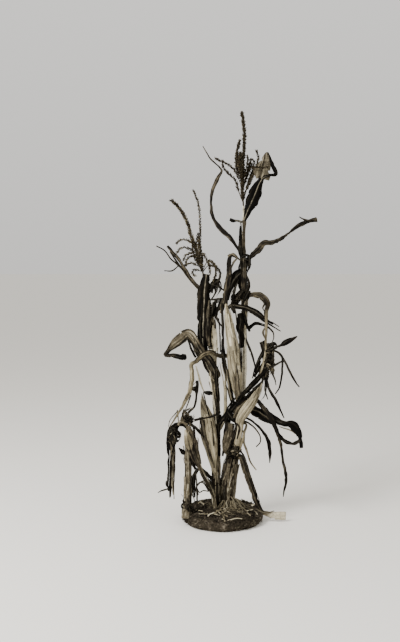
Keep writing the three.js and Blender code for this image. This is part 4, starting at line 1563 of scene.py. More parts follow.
BLADES = [
    Blade("leaf_flag", Tone.DARK, ("stalk_main", 1207), [(99, -14, 1245), (128, -28, 1310), (160, -42, 1380),
        (192, -48, 1397), (218, -48, 1401), (203, -42, 1438), (184, -36, 1490)],
        [12, 32, 50, 54, 28, 9, 15, 16, 5], turn=[20, 10, 0, -10, 0, 0, 10, 20],
        shade=[0.02, 0, 0, 0, 0.02, 0.05], rib=0.45, roll=[60, 25, 25, 30, 50], edge=0.05, twist=10,
        also=[
            Offshoot([(82, -8, 1207), (60, -12, 1212), (44, -14, 1212), (30, -15, 1217)], [7, 8, 8, 15, 12]),
            Offshoot([(160, -42, 1382), (169, -42, 1425), (181, -38, 1490)], [50, 76, 60, 34, 7],
                [0.78, 0.72, 0.66]),
        ],
    ),
    Blade("leaf_upper_left", Tone.GREY, ("stalk_main", 1058), [(32, 14, 1142), (-12, 34, 1180),
        (-40, 50, 1235), (-46, 62, 1296), (-36, 70, 1345), (-20, 72, 1385), (-2, 68, 1415), (-12, 66, 1429),
        (-49, 74, 1466), (-79, 84, 1515)], [8, 10, 12, 17, 25, 21, 13, 15, 10, 12, 15, 17, 10, 6, 6, 5, 3],
        turn=[30, 20, 30, 10, 0, 10, 20], shade=[0, 0.02, 0, 0.08, 0.05, 0.1, 0.05], roll=[80, 60, 60, 80],
        rib=0, edge=0.05),
    Blade("leaf_sliver", Tone.DARK, ("stalk_main", 1046), [(70, -16, 1090), (74, -22, 1140),
        (77, -24, 1192)], [9, 13, 11, 12, 4], shade=[0.02]),
    Blade("leaf_upper_right", Tone.GREY, ("stalk_main", 1048), [(122, 16, 1076), (146, 30, 1098),
        (170, 42, 1122), (202, 56, 1127), (235, 70, 1140), (288, 90, 1179), (320, 102, 1200),
        (350, 112, 1211), (385, 122, 1219)], [12, 21, 25, 26, 22, 20, 18, 13, 16, 20, 17, 22],
        turn=[40, 30, 20, 30, 40, 20, 0], shade=[0, 0.12, 0.2, 0.12, 0.1, 0.05, 0],
        roll=[70, 40, 50, 40, 60], rib=0, edge=0.15,
        also=[
            Offshoot([(352, 112, 1210), (330, 96, 1218), (312, 88, 1228)], [10, 8, 3]),
        ],
    ),
    Blade("sheath_high", Tone.DARK, ("stalk_main", 908), [(82, -19, 940), (86, -20, 1000), (92, -19, 1058),
        (92, -20, 1068)], [16, 34, 38, 42, 30], shade=[0.1, 0.1, 0.05, 0], roll=[60, 70, 75], frays=3,
        edge=0.3),
    Blade("leaf_back_high", Tone.GREY, ("stalk_main", 610), [(60, 60, 690), (44, 120, 720), (34, 180, 690),
        (30, 216, 620), (30, 226, 545)], [12, 30, 42, 42, 34, 22, 6], turn=[-30, -10, 0, -20, -50],
        facing=(1, 0, 0), shade=[0.35, 0.45, 0.4], frays=2),
    Blade("leaf_back_left", Tone.DARK, ("stalk_second", 700), [(-48, 64, 790), (-62, 120, 850),
        (-73, 172, 870), (-77, 212, 820), (-74, 226, 750)], [12, 28, 38, 38, 30, 18, 6],
        turn=[-30, -10, 0, -20, -50], facing=(1, 0, 0), shade=[0.15, 0.25, 0.2], frays=2),
    Blade("leaf_back_low", Tone.STRAW, ("stalk_second", 300), [(-42, 70, 380), (-56, 124, 436),
        (-64, 172, 430), (-63, 200, 360), (-58, 208, 300)], [12, 28, 36, 34, 26, 16, 6],
        turn=[-30, -10, 0, -20, -50], facing=(1, 0, 0), shade=[0.4, 0.55, 0.5], frays=2),
    Blade("husk_folded", Tone.GREY, ("ear_long", 868), [(12, -44, 912), (20, -44, 950), (27, -42, 1000),
        (27, -38, 1048), (36, -34, 1073), (52, -32, 1068), (64, -32, 1060)],
        [9, 20, 25, 25, 24, 22, 18, 14, 7], turn=[0, 10, 20, 10, 0],
        shade=[0, 0.05, 0.1, 0, -0.1, -0.1, -0.1], roll=[50, 40, 50], rib=0, edge=0.2),
    Blade("leaf_dark_high", Tone.DARK, ("stalk_main", 1012), [(60, -24, 1000), (42, -32, 946),
        (26, -36, 904)], [12, 30, 26, 6], turn=[10], shade=[0.05, 0.1, 0.2], frays=2),
    Blade("leaf_arch_right", Tone.STRAW, ("stalk_main", 918), [(113, -26, 920), (142, -60, 914),
        (167, -88, 900), (183, -102, 878), (180, -108, 845), (179, -110, 749), (176, -108, 680),
        (166, -104, 628), (154, -100, 590)], [10, 28, 30, 26, 20, 14, 11, 10, 10, 9, 6],
        turn=[50, 40, 30, 10, 20, 30, 20, 0], shade=[-0.1, -0.1, -0.1, 0, 0.15, 0.3, 0.45, 0.45, 0.4],
        roll=[50, 30, 60, 80], edge=0.4, rib=0),
    Blade("leaf_mid_right", Tone.DARK, ("ear_long", 858), [(38, -56, 870), (73, -58, 865), (113, -62, 855),
        (142, -70, 838), (166, -78, 818), (194, -88, 798), (239, -102, 768)],
        [10, 18, 24, 28, 26, 22, 18, 12], turn=[20, 30, 30, 20, 0], shade=[0.1, 0.05, 0.02, 0.05, 0.12, 0.4],
        rib=0.15, frays=2, roll=[60, 40, 40, 30]),
    Blade("leaf_hook_right", Tone.DARK, ("stalk_main", 792), [(106, 18, 780), (134, 50, 797), (162, 78, 792),
        (186, 98, 782), (207, 112, 762), (211, 118, 737), (202, 120, 714)], [9, 16, 12, 11, 10, 9, 8, 4],
        turn=[20], shade=[0, 0.05, 0.3, 0.4, 0.4], frays=1, rib=0),
    Blade("leaf_beside_ear", Tone.DARK, ("stalk_main", 690), [(80, -16, 722), (74, -24, 765),
        (58, -14, 818)], [9, 22, 20, 7], turn=[15], shade=[0.1, 0.12, 0.2], frays=3),
    Blade("twig_right", Tone.DARK, ("stalk_main", 744), [(103, -22, 716), (122, -36, 668), (134, -48, 620),
        (138, -52, 594)], [7, 10, 9, 7, 5], shade=[0.05]),
    Blade("leaf_upright", Tone.DARK, ("stalk_second", 568), [(-60, 6, 622), (-76, -2, 680), (-79, -10, 760),
        (-76, -18, 840), (-73, -22, 900), (-70, -24, 950), (-64, -24, 996)],
        [13, 26, 30, 38, 52, 54, 52, 26], turn=[0, 10, 20, 10, -10, 0],
        shade=[0.02, 0.02, 0.02, 0.06, 0.06, 0.03, 0], rib=0.55, roll=[70, 60, 45, 35, 35], twist=6,
        ribbed=0.95),
    Blade("leaf_left_high", Tone.GREY, ("stalk_second", 936), [(-101, 20, 946), (-130, 34, 978),
        (-150, 42, 1012), (-170, 50, 1045), (-202, 58, 1085), (-223, 62, 1110)], [8, 16, 17, 16, 14, 13, 11],
        turn=[25], shade=[0.1, 0.22, 0.2, 0.1], roll=[70, 40, 40], edge=0.4, rib=0, twist=8),
    Blade("thread_left_high", Tone.TASSEL, ("stalk_second", 905), [(-110, -20, 950), (-140, -34, 985),
        (-166, -46, 1020), (-207, -60, 1057), (-235, -70, 1093), (-267, -78, 1110)], [6, 7, 6, 6, 5, 4],
        shade=[0.2]),
    Blade("leaf_knot", Tone.DARK, ("stalk_second", 912), [(-45, -6, 946), (-24, -12, 965), (-14, -14, 940),
        (-26, -12, 908)], [10, 20, 27, 25, 10], shade=[0.05, 0.12, 0.1], frays=3),
    Blade("leaf_bar", Tone.DARK, ("stalk_second", 812), [(-34, -8, 852), (-26, -12, 884), (-6, -14, 892),
        (8, -16, 893)], [12, 24, 22, 12, 7], shade=[0.1, 0.15, 0.2], frays=2),
    Blade("leaf_left_bent", Tone.GREY, ("stalk_second", 548), [(-28, -8, 595), (-53, -34, 640),
        (-77, -46, 668), (-101, -58, 709), (-122, -70, 742), (-138, -78, 754), (-166, -94, 736),
        (-194, -108, 713), (-215, -114, 690), (-232, -120, 670), (-202, -116, 667), (-170, -108, 660),
        (-146, -102, 656)], [13, 34, 38, 36, 34, 36, 38, 40, 44, 42, 20, 14, 20, 17],
        turn=[10, 20, 30, 20, 10, 0, 10, 20, 10, 0],
        shade=[0.15, 0.2, 0.15, 0.2, 0.25, 0.42, 0.5, 0.45, 0.05, 0, 0], rib=0.25,
        roll=[60, 30, 35, 20, 12, 15, 40], edge=0.4, twist=8),
    Blade("leaf_left_hanging", Tone.STRAW, ("stalk_main", 656), [(45, -10, 664), (0, -34, 664),
        (-28, -56, 667), (-50, -72, 677), (-77, -82, 666), (-106, -88, 641), (-123, -92, 628),
        (-121, -94, 600), (-124, -96, 559), (-136, -98, 506), (-172, -102, 441), (-213, -106, 377)],
        [9, 14, 17, 17, 20, 21, 18, 17, 18, 18, 15, 10, 7, 4], turn=[0, 10, 10, 20, 30, 20, 10, 20, 10, 0],
        shade=[0, 0, 0, 0.12, 0.3, 0.4, 0.4, 0.35, 0.3, 0.3], roll=[80, 80, 30, 50, 60], edge=0.35, rib=0),
    Blade("leaf_mid_left", Tone.DARK, ("stalk_main", 452), [(56, -12, 464), (40, -22, 492), (30, -28, 540),
        (20, -30, 590), (7, -30, 645), (2, -24, 770)], [8, 12, 14, 16, 18, 18, 14, 5], shade=[0.08],
        frays=1),
    Blade("strip_pale", Tone.HUSK, ("stalk_second", 352), [(4, 6, 392), (12, 2, 440), (13, 0, 500),
        (8, -4, 580), (-4, -10, 638)], [9, 13, 14, 13, 12, 6], shade=[0.3, 0.45, 0.4], edge=0.3, frays=1,
        rib=0),
    # This dark strip is painted shade: it lies where the second stalk's shadow falls beside it.
    Blade("strip_dark", Tone.DARK, ("stalk_second", 244), [(-14, -14, 290), (-16, -14, 340),
        (-18, -12, 410)], [9, 14, 14, 8], shade=[0.08], frays=2),
    Blade("leaf_crossing", Tone.DARK, ("stalk_second", 432), [(-10, -18, 436), (-22, -48, 426),
        (-50, -62, 415), (-89, -66, 409), (-125, -64, 402), (-156, -60, 394)], [8, 9, 10, 10, 9, 7, 4],
        turn=[60, 40, 0], shade=[0.05, 0.1, 0.3], frays=1),
    Blade("leaf_ear_slant", Tone.DARK, ("stalk_second", 378), [(-4, -26, 402), (20, -46, 428),
        (45, -54, 455), (70, -56, 488), (93, -58, 516), (113, -60, 538), (140, -62, 572), (162, -66, 599),
        (190, -70, 616), (216, -74, 629), (243, -78, 645)], [10, 18, 22, 20, 18, 20, 21, 18, 14, 10, 8, 5],
        turn=[30, 10, 0, 0, 10, 20], shade=[0.05, 0, 0.08, 0.02, 0.1], roll=[70, 50, 60], rib=0.1, edge=0.1),
    Blade("leaf_low_right", Tone.DARK, ("stalk_main", 448), [(116, -20, 452), (146, -36, 437),
        (186, -58, 417), (219, -76, 403), (247, -90, 391), (275, -102, 388), (297, -110, 374),
        (310, -114, 354), (318, -118, 325), (321, -120, 292)],
        [13, 30, 42, 44, 50, 36, 23, 20, 38, 26, 17, 14], turn=[10, 20, 30, 20, 10, 0, 10, 0],
        shade=[0.3, 0.1, 0, 0, 0], rib=0.1, roll=[30, 20, 25, 40, 60], edge=0.1, twist=10,
        also=[
            Offshoot([(316, -119, 322), (284, -122, 309), (256, -120, 318), (234, -116, 340),
                (223, -112, 362)], [12, 18, 17, 13, 5]),
        ],
    ),
    Blade("leaf_long_hanging", Tone.GREY, ("stalk_main", 500), [(115, -22, 495), (142, -48, 484),
        (166, -74, 458), (194, -92, 421), (214, -98, 381), (227, -96, 344), (239, -88, 304), (244, -80, 263),
        (251, -70, 223), (259, -60, 182), (259, -50, 150), (251, -42, 120), (247, -36, 94)],
        [8, 15, 17, 20, 20, 17, 15, 13, 12, 13, 15, 10, 3], turn=[10, 20, 10, 20, 30, 20, 0],
        shade=[0, -0.1, -0.05, 0, 0, -0.05, 0], rib=0),
    Blade("leaf_spindle_low", Tone.DARK, ("stalk_main", 424), [(105, 4, 410), (124, 10, 400), (146, 16, 381),
        (170, 22, 356), (186, 26, 324), (194, 28, 284), (192, 28, 231)], [7, 8, 9, 12, 14, 17, 15, 3],
        turn=[20], shade=[0.05, 0.08, 0.12]),
    Blade("thread_low_right", Tone.TASSEL, ("stalk_main", 398), [(100, -16, 396), (138, -34, 365),
        (154, -42, 336), (154, -44, 316), (138, -42, 296)], [6, 7, 6, 5, 4], shade=[0.1, 0.2, 0.2]),
    Blade("blade_crossing_a", Tone.STRAW, ("stalk_main", 388), [(97, -26, 388), (92, -44, 360),
        (82, -50, 322), (73, -50, 284)], [6, 9, 12, 11, 5], shade=[0.35, 0.3]),
    Blade("blade_crossing_b", Tone.STRAW, ("stalk_main", 372), [(88, -18, 352), (88, -26, 318),
        (101, -30, 275), (117, -32, 231), (138, -34, 202)], [6, 8, 9, 7, 4], shade=[0.3, 0.25]),
    Blade("clump_right", Tone.DARK, ("ear_slant", 552), [(172, -84, 590), (186, -88, 640), (200, -90, 690),
        (212, -90, 714), (222, -88, 702)], [6, 16, 24, 22, 18, 14, 8], turn=[10, 0, -20, 10, 30],
        shade=[0.05, 0.12, 0.08], crumple=5, frays=3,
        also=[
            Offshoot([(186, -87, 640), (174, -84, 680), (160, -80, 714)], [10, 16, 30]),
            Offshoot([(184, -87, 655), (150, -84, 612), (122, -80, 575)], [10, 14, 6]),
            Offshoot([(178, -85, 600), (172, -86, 506), (156, -86, 478)], [14, 9, 4]),
        ],
    ),
    Blade("leaf_spindle_right", Tone.DARK, ("clump_right", 700), [(239, -98, 709), (259, -104, 724),
        (284, -112, 734), (304, -118, 745)], [7, 10, 24, 20, 4], turn=[20], shade=[0.06]),
    Blade("threads_right", Tone.DARK, ("clump_right", 690), [(230, -78, 676), (243, -76, 660),
        (243, -72, 608), (239, -70, 567), (231, -68, 535), (215, -66, 510)], [7, 9, 9, 8, 8, 7, 4],
        shade=[0.05],
        also=[
            Offshoot([(241, -76, 664), (256, -84, 638), (275, -92, 599), (292, -98, 567), (312, -104, 539)],
                [8, 8, 9, 8, 4]),
        ],
    ),
    Blade("leaf_clump_low", Tone.DARK, ("clump_right", 590), [(194, -94, 526), (211, -98, 498),
        (231, -102, 458), (251, -106, 413)], [8, 12, 13, 11, 4], turn=[20], shade=[0.08, 0.06]),
    Blade("leaf_base_right", Tone.GREY, ("stalk_main", 268), [(76, -40, 251), (96, -50, 202),
        (114, -52, 148), (130, -48, 98), (146, -44, 60), (166, -40, 30), (192, -34, 22), (226, -30, 17),
        (258, -28, 16)], [12, 20, 25, 27, 27, 26, 24, 20, 14, 22, 32, 32],
        turn=[10, 10, 0, 10, 20, 10, 0, 0], shade=[0.05, 0.25, 0.2, 0.15, 0.25, 0.15, 0.3, 1.15, 1.25],
        roll=[20, 15, 15, 15, 12, 5], edge=0.3, rib=0, twist=6),
    Blade("leaf_tiller_dark", Tone.DARK, ("stalk_second", 158), [(-50, -24, 178), (-81, -32, 204),
        (-106, -34, 216), (-122, -32, 262)], [7, 9, 12, 24, 8], shade=[0.05], frays=1),
    Blade("leaf_low_left", Tone.DARK, ("stem_tiller", 214), [(-112, -68, 182), (-117, -64, 140),
        (-112, -58, 96), (-108, -54, 70)], [8, 16, 22, 20, 10], turn=[10], shade=[0.1, 0.2, 0.15], frays=3),
    Blade("thread_low_left", Tone.TASSEL, ("stem_tiller", 112), [(-50, -82, 132), (-77, -90, 158),
        (-104, -86, 132), (-96, -80, 102)], [5, 5, 5, 4], shade=[0.2]),
    Blade("clump_left", Tone.GREY, ("stem_side", 384), [(-156, -64, 410), (-144, -68, 438),
        (-124, -66, 454)], [10, 26, 22, 8], shade=[0.1, 0.25, 0.1], crumple=5, frays=4,
        also=[
            Offshoot([(-150, -64, 405), (-128, -68, 400), (-114, -70, 428)], [12, 20, 10]),
            Offshoot([(-136, -68, 436), (-112, -68, 462), (-105, -66, 500), (-107, -64, 526),
                (-119, -62, 534), (-104, -62, 558)], [10, 7, 7, 8, 14, 11]),
        ],
    ),
    Blade("leaf_hanging_left", Tone.DARK, ("stem_side", 372), [(-164, -38, 388), (-188, -30, 381),
        (-204, -24, 350), (-207, -22, 300), (-211, -22, 240), (-215, -22, 182), (-213, -22, 126),
        (-210, -22, 90)], [9, 22, 40, 34, 22, 19, 20, 19, 13], turn=[10, 20, 10, 0, 20],
        shade=[0.1, 0.15, 0.1, 0.12, 0.2, 0.2, 0.3], crumple=4, frays=1, rib=0,
        also=[
            Offshoot([(-200, -26, 360), (-196, -24, 290), (-198, -22, 200), (-199, -20, 140),
                (-196, -20, 86)], [20, 18, 16, 17, 15, 11], [0.45, 0.55, 0.85]),
        ],
    ),
    Blade("flap_side_stem", Tone.DARK, ("stem_side", 262), [(-162, -64, 278), (-176, -66, 292)], [8, 22, 4],
        shade=[0.03]),
    Blade("leaf_short_left", Tone.DARK, ("clump_left", 400), [(-106, -84, 372), (-90, -80, 352),
        (-73, -74, 336)], [6, 12, 12, 5], shade=[0.1]),
]

# Each shred has its shade, its depths at both ends, and its line.
STRIPS = {
    Tone.HUSK: [
        Strip(0.75, (6, -2), [(-51, 583, 8), (-28, 437, 9), (-24, 389, 6)]),
        Strip(0.6, (-2, -4), [(-37, 790, 5), (-33, 761, 23), (-32, 721, 26), (-30, 685, 18)]),
    ],
    Tone.DARK: [
        # This dark shred is painted shade, along the shadow line beside the second stalk.
        Strip(0.03, (-16, 6), [(-22, 604, 12), (-24, 559, 16), (-26, 527, 7), (-22, 498, 6), (-18, 478, 3)]),
        # This dark shred is painted shade too, in the shadow between the second stalk and the left ear.
        Strip(0.03, (-4, -24), [(-30, 486, 3), (-14, 365, 11), (-12, 259, 9)]),
        Strip(0.05, (-30, -30), [(14, 547, 4), (24, 523, 8), (41, 462, 6)]),
        Strip(0.02, (-38, -30), [(-1, 879, 8), (5, 709, 12), (7, 680, 5)]),
        Strip(0.02, (-36, -30), [(2, 680, 5), (38, 535, 7), (47, 482, 5)]),
        Strip(0.05, (-34, -64), [(67, 770, 4), (71, 713, 8), (78, 599, 4)]),
        Strip(0.05, (-12, -14), [(89, 705, 2), (89, 551, 2), (91, 486, 2)]),
        Strip(0.02, (-80, -32), [(49, 875, 3), (54, 842, 5), (63, 761, 3)]),
        Strip(0.02, (-24, -28), [(69, 838, 16), (75, 818, 32), (71, 770, 30), (75, 737, 16), (78, 697, 5)]),
        Strip(0.02, (-10, -12), [(79, 705, 4), (78, 527, 5), (82, 486, 4)]),
        Strip(0.1, (-28, -48), [(-77, 518, 4), (-65, 470, 5), (-53, 421, 4)]),
        Strip(0.1, (-52, -48), [(-45, 401, 4), (-38, 356, 5), (-35, 300, 4)]),
        Strip(0.02, (-34, -42), [(24, 409, 24), (8, 316, 15), (2, 259, 8)]),
        Strip(0.1, (-60, -46), [(57, 389, 8), (51, 348, 13), (28, 288, 6)]),
        Strip(0.1, (-68, -52), [(58, 393, 6), (69, 373, 10), (60, 328, 3)]),
        Strip(0.05, (-98, -98), [(-142, 502, 6), (-152, 474, 8), (-169, 446, 4)]),
        Strip(0.15, (-98, -98), [(-127, 506, 5), (-140, 470, 5), (-152, 437, 3)]),
        Strip(0.1, (-66, -72), [(-154, 450, 5), (-160, 429, 9), (-154, 409, 5)]),
        Strip(0.05, (-66, -72), [(-102, 565, 12), (-101, 539, 12), (-108, 486, 5), (-116, 455, 4)]),
        Strip(0.05, (-72, -74), [(-125, 531, 8), (-112, 535, 14), (-100, 540, 8)]),
        Strip(0.02, (-22, -22), [(-76, 521, 3), (-65, 515, 15), (-53, 513, 17), (-39, 511, 12)]),
        Strip(0.03, (-82, -96), [(-121, 390, 6), (-115, 365, 9), (-109, 334, 3)]),
        Strip(0.03, (-100, -76), [(-128, 271, 6), (-122, 239, 18), (-109, 204, 8)]),
        Strip(0.12, (-70, -82), [(-108, 203, 5), (-123, 170, 8), (-131, 126, 7), (-128, 65, 6)]),
        Strip(0.2, (-84, -84), [(-107, 190, 5), (-103, 130, 8), (-100, 37, 6)]),
        Strip(0.03, (-36, -32), [(-84, 208, 5), (-69, 190, 10), (-37, 160, 4)]),
        Strip(0.2, (-80, -80), [(-105, 135, 4), (-92, 152, 5), (-77, 150, 5), (-54, 116, 4)]),
        Strip(0.3, (-80, -76), [(-105, 138, 4), (-93, 112, 5), (-77, 119, 4), (-55, 116, 4)]),
        Strip(0.03, (-22, -40), [(-213, 128, 5), (-247, 118, 6), (-261, 111, 3)]),
        Strip(0.1, (-22, -26), [(-216, 166, 5), (-225, 152, 10), (-223, 138, 10), (-213, 131, 5)]),
        Strip(0.05, (-110, -112), [(168, 891, 10), (172, 875, 8), (164, 860, 5), (172, 842, 2)]),
        Strip(0.02, (-104, -104), [(160, 723, 24), (168, 705, 22), (173, 680, 10)]),
        Strip(0.03, (-100, -98), [(166, 680, 16), (140, 632, 9), (122, 574, 4)]),
        Strip(0.02, (-112, -94), [(174, 685, 10), (198, 690, 14), (222, 697, 6)]),
        Strip(0.05, (-104, -98), [(186, 701, 5), (198, 713, 9), (213, 715, 9), (222, 703, 5)]),
        Strip(0.02, (-112, -106), [(240, 642, 6), (186, 612, 12), (156, 587, 10)]),
        Strip(0.05, (-94, -92), [(181, 616, 14), (181, 579, 20), (176, 551, 8)]),
        Strip(0.03, (-100, -100), [(200, 601, 8), (211, 575, 6), (219, 547, 4)]),
        Strip(0.03, (-86, -92), [(174, 555, 6), (174, 523, 7), (185, 488, 3)]),
        Strip(0.03, (-60, -64), [(164, 561, 4), (142, 531, 14), (57, 463, 10)]),
        Strip(0.08, (-82, -58), [(159, 577, 4), (136, 552, 8), (119, 533, 5)]),
        Strip(0.1, (-92, -86), [(148, 621, 4), (152, 599, 6), (139, 574, 6), (125, 561, 4)]),
        Strip(0.02, (-30, -28), [(74, 1059, 6), (85, 1069, 10), (101, 1073, 10), (115, 1066, 5)]),
        Strip(0.05, (-36, -16), [(111, 1068, 12), (110, 1023, 12), (100, 1007, 4)]),
        Strip(0.02, (-26, -26), [(98, 994, 5), (106, 968, 12), (107, 940, 13), (101, 922, 6)]),
        Strip(0, (-30, -30), [(76, 1065, 5), (75, 1029, 6), (76, 988, 3)]),
        Strip(0.02, (-18, -20), [(78, 1053, 13), (76, 1094, 13), (72, 1166, 12), (73, 1192, 3)]),
        Strip(0.05, (-36, -44), [(74, 1001, 4), (44, 968, 12), (23, 891, 8)]),
        Strip(0.1, (-28, -48), [(66, 974, 6), (49, 928, 10), (39, 876, 8)]),
        Strip(0.05, (-36, -28), [(85, 929, 20), (67, 907, 36), (49, 869, 18)]),
        Strip(0.08, (-40, -34), [(108, 928, 14), (97, 907, 13), (83, 876, 8)]),
        Strip(0.02, (-32, -32), [(111, 929, 6), (110, 911, 12), (103, 893, 6)]),
        Strip(0.15, (-10, -20), [(-13, 1018, 5), (-8, 996, 7), (-14, 972, 8), (-32, 960, 14), (-42, 944, 18),
            (-41, 919, 6)]),
        Strip(0.12, (-18, -16), [(-43, 954, 8), (-8, 942, 8), (7, 928, 5)]),
        Strip(0.1, (-18, -18), [(-31, 937, 4), (-28, 921, 6), (-46, 891, 5)]),
        Strip(0.12, (-20, -20), [(-46, 892, 6), (-12, 896, 8), (20, 898, 7)]),
        Strip(0.02, (-26, -2), [(-25, 893, 10), (-34, 859, 13), (-43, 820, 8)]),
        Strip(0.05, (-24, -24), [(1, 895, 14), (-13, 859, 20), (-27, 824, 12)]),
        Strip(0.05, (-26, -24), [(-27, 832, 10), (-11, 795, 9), (-2, 786, 5)]),
        Strip(0.02, (-18, -2), [(-87, 822, 8), (-92, 778, 18), (-87, 729, 26), (-75, 679, 24)]),
        Strip(0.03, (-16, -6), [(83, 848, 14), (101, 790, 14), (112, 764, 8)]),
        Strip(0.08, (-64, -60), [(35, 868, 10), (44, 855, 18), (49, 837, 6)]),
        Strip(0.1, (0, -38), [(16, 308, 5), (28, 300, 8), (73, 285, 4)]),
        Strip(0.05, (-44, -28), [(20, 281, 8), (32, 267, 14), (49, 247, 5)]),
        Strip(0.05, (-44, -36), [(73, 284, 6), (85, 263, 8), (97, 239, 5)]),
        Strip(0.02, (-28, -24), [(-37, 883, 7), (-42, 834, 10), (-47, 810, 4)]),
        Strip(0.05, (-20, -18), [(-15, 818, 4), (-11, 778, 6), (-7, 680, 5)]),
        Strip(0.12, (-58, -50), [(-235, 1010, 3), (-203, 1010, 5), (-176, 1031, 4)]),
        Strip(0.03, (-12, 38), [(-212, 1087, 3), (-178, 1037, 9), (-146, 1000, 4)]),
        Strip(0, (-118, -104), [(-190, 662, 8), (-170, 660, 20), (-158, 659, 27), (-144, 662, 16)]),
        Strip(0.03, (-97, -62), [(-143, 743, 4), (-124, 689, 9), (-108, 658, 9)]),
        Strip(0.03, (-74, -40), [(-116, 737, 3), (-104, 705, 6), (-81, 656, 6)]),
        Strip(0.03, (-54, -56), [(75, 267, 3), (138, 93, 5), (158, 53, 4)]),
        Strip(0.05, (-50, -58), [(79, 275, 4), (100, 223, 3), (152, 73, 3)]),
        Strip(0.03, (-40, -32), [(-217, 339, 5), (-212, 365, 8), (-197, 373, 9), (-182, 363, 8),
            (-171, 342, 4)]),
        Strip(0.05, (-38, -32), [(-183, 350, 6), (-186, 324, 8), (-203, 274, 5)]),
        Strip(0.03, (-52, -48), [(69, 484, 12), (43, 454, 26), (23, 425, 26), (14, 399, 12)]),
        Strip(0.05, (-66, -58), [(121, 543, 4), (61, 501, 6), (28, 463, 8), (12, 432, 5)]),
        Strip(0, (-98, -86), [(180, 706, 14), (196, 680, 18), (203, 648, 16), (198, 604, 8)]),
        Strip(0, (-94, -92), [(154, 646, 8), (142, 612, 13), (131, 579, 8)]),
        Strip(0, (-88, -78), [(172, 606, 10), (142, 569, 20), (115, 535, 12)]),
        Strip(0.05, (-44, -40), [(-209, 377, 4), (-201, 350, 7), (-207, 322, 6), (-200, 296, 5)]),
        Strip(0, (-60, -56), [(19, 440, 14), (35, 419, 26), (50, 401, 20), (58, 385, 8)]),
        Strip(0, (-80, -76), [(138, 567, 5), (113, 541, 10), (65, 496, 5)]),
        Strip(0, (-74, -72), [(162, 563, 4), (113, 514, 11), (93, 494, 8)]),
    ],
    Tone.GREY: [
        Strip(0.3, (-34, -36), [(18, 608, 5), (23, 567, 9), (38, 486, 6)]),
        Strip(0.35, (-70, -70), [(55, 640, 3), (62, 567, 17), (66, 498, 14)]),
        Strip(0.4, (-68, -68), [(40, 616, 2), (51, 551, 9), (58, 486, 7)]),
        Strip(0.15, (-58, -38), [(-87, 417, 16), (-65, 320, 19), (-49, 263, 13), (-32, 211, 6)]),
        Strip(0.3, (-98, -98), [(-180, 442, 5), (-213, 401, 3), (-217, 377, 3)]),
        Strip(0.5, (-98, -96), [(-182, 446, 5), (-178, 413, 5), (-176, 381, 4)]),
        Strip(0.25, (-96, -96), [(174, 782, 4), (166, 757, 9), (173, 736, 4)]),
        Strip(0.2, (-100, -106), [(205, 676, 8), (202, 644, 12), (209, 591, 5)]),
        Strip(0.35, (-100, -110), [(189, 680, 6), (180, 648, 10), (185, 624, 9), (196, 604, 4)]),
        Strip(0.12, (-24, -22), [(86, 1061, 20), (87, 968, 24), (85, 923, 20)]),
        Strip(0.3, (-38, -36), [(23, 1068, 9), (40, 1078, 10), (73, 1053, 5)]),
        Strip(0.2, (-50, -46), [(61, 1061, 6), (44, 1041, 9), (35, 1021, 9), (32, 992, 8)]),
        Strip(0.45, (-6, -14), [(-65, 1047, 5), (-45, 1045, 7), (-30, 1029, 8), (-26, 1004, 7),
            (-34, 974, 4)]),
        Strip(0.3, (-30, -30), [(10, 899, 14), (2, 867, 20), (-4, 838, 12)]),
        Strip(0.1, (-18, -18), [(-53, 891, 4), (-59, 802, 19), (-58, 753, 21), (-55, 705, 14)]),
        Strip(0.4, (-50, -34), [(138, 45, 4), (162, 32, 5), (186, 30, 5), (211, 37, 3)]),
        Strip(0.3, (-26, -70), [(117, 448, 4), (146, 440, 6), (190, 407, 3)]),
        Strip(0.25, (-97, -125), [(231, 379, 3), (279, 362, 5), (296, 348, 2)]),
        Strip(0.12, (-32, -26), [(-208, 362, 18), (-203, 332, 26), (-201, 300, 22), (-207, 259, 10)]),
        Strip(0.5, (-40, -70), [(-178, 382, 7), (-169, 395, 17), (-154, 396, 20), (-143, 385, 10)]),
        Strip(0.2, (-72, -78), [(-144, 436, 6), (-139, 417, 10), (-126, 381, 8)]),
        Strip(0.12, (-110, -92), [(-128, 300, 24), (-116, 263, 28), (-101, 227, 20), (-88, 199, 8)]),
        Strip(0.15, (-56, -58), [(103, 496, 6), (78, 467, 22), (58, 440, 28), (48, 413, 14)]),
        Strip(0.2, (-12, -12), [(-131, 737, 7), (-102, 676, 15), (-87, 646, 10)]),
    ],
    Tone.STRAW: [
        Strip(0.75, (-60, -50), [(-106, 624, 4), (-86, 551, 8), (-75, 523, 4)]),
        Strip(0.7, (-148, -144), [(-2, 5, 3), (16, -3, 6), (57, 7, 4), (81, 5, 3)]),
        Strip(0.4, (-114, -112), [(-148, 366, 10), (-143, 336, 28), (-136, 308, 34), (-130, 284, 16)]),
    ],
}

# Each row has a stalk, the heights between which its shreds begin, and their number.
FIBRES = [
    ("stalk_main", 60, 280, 70),
    ("stalk_main", 290, 480, 22),
    ("stalk_main", 800, 900, 10),
    ("stalk_second", 50, 260, 34),
    ("stalk_second", 260, 640, 34),
    ("stalk_second", 800, 900, 10),
    ("stem_side", 30, 330, 34),
    ("stem_tiller", 60, 200, 10),
]

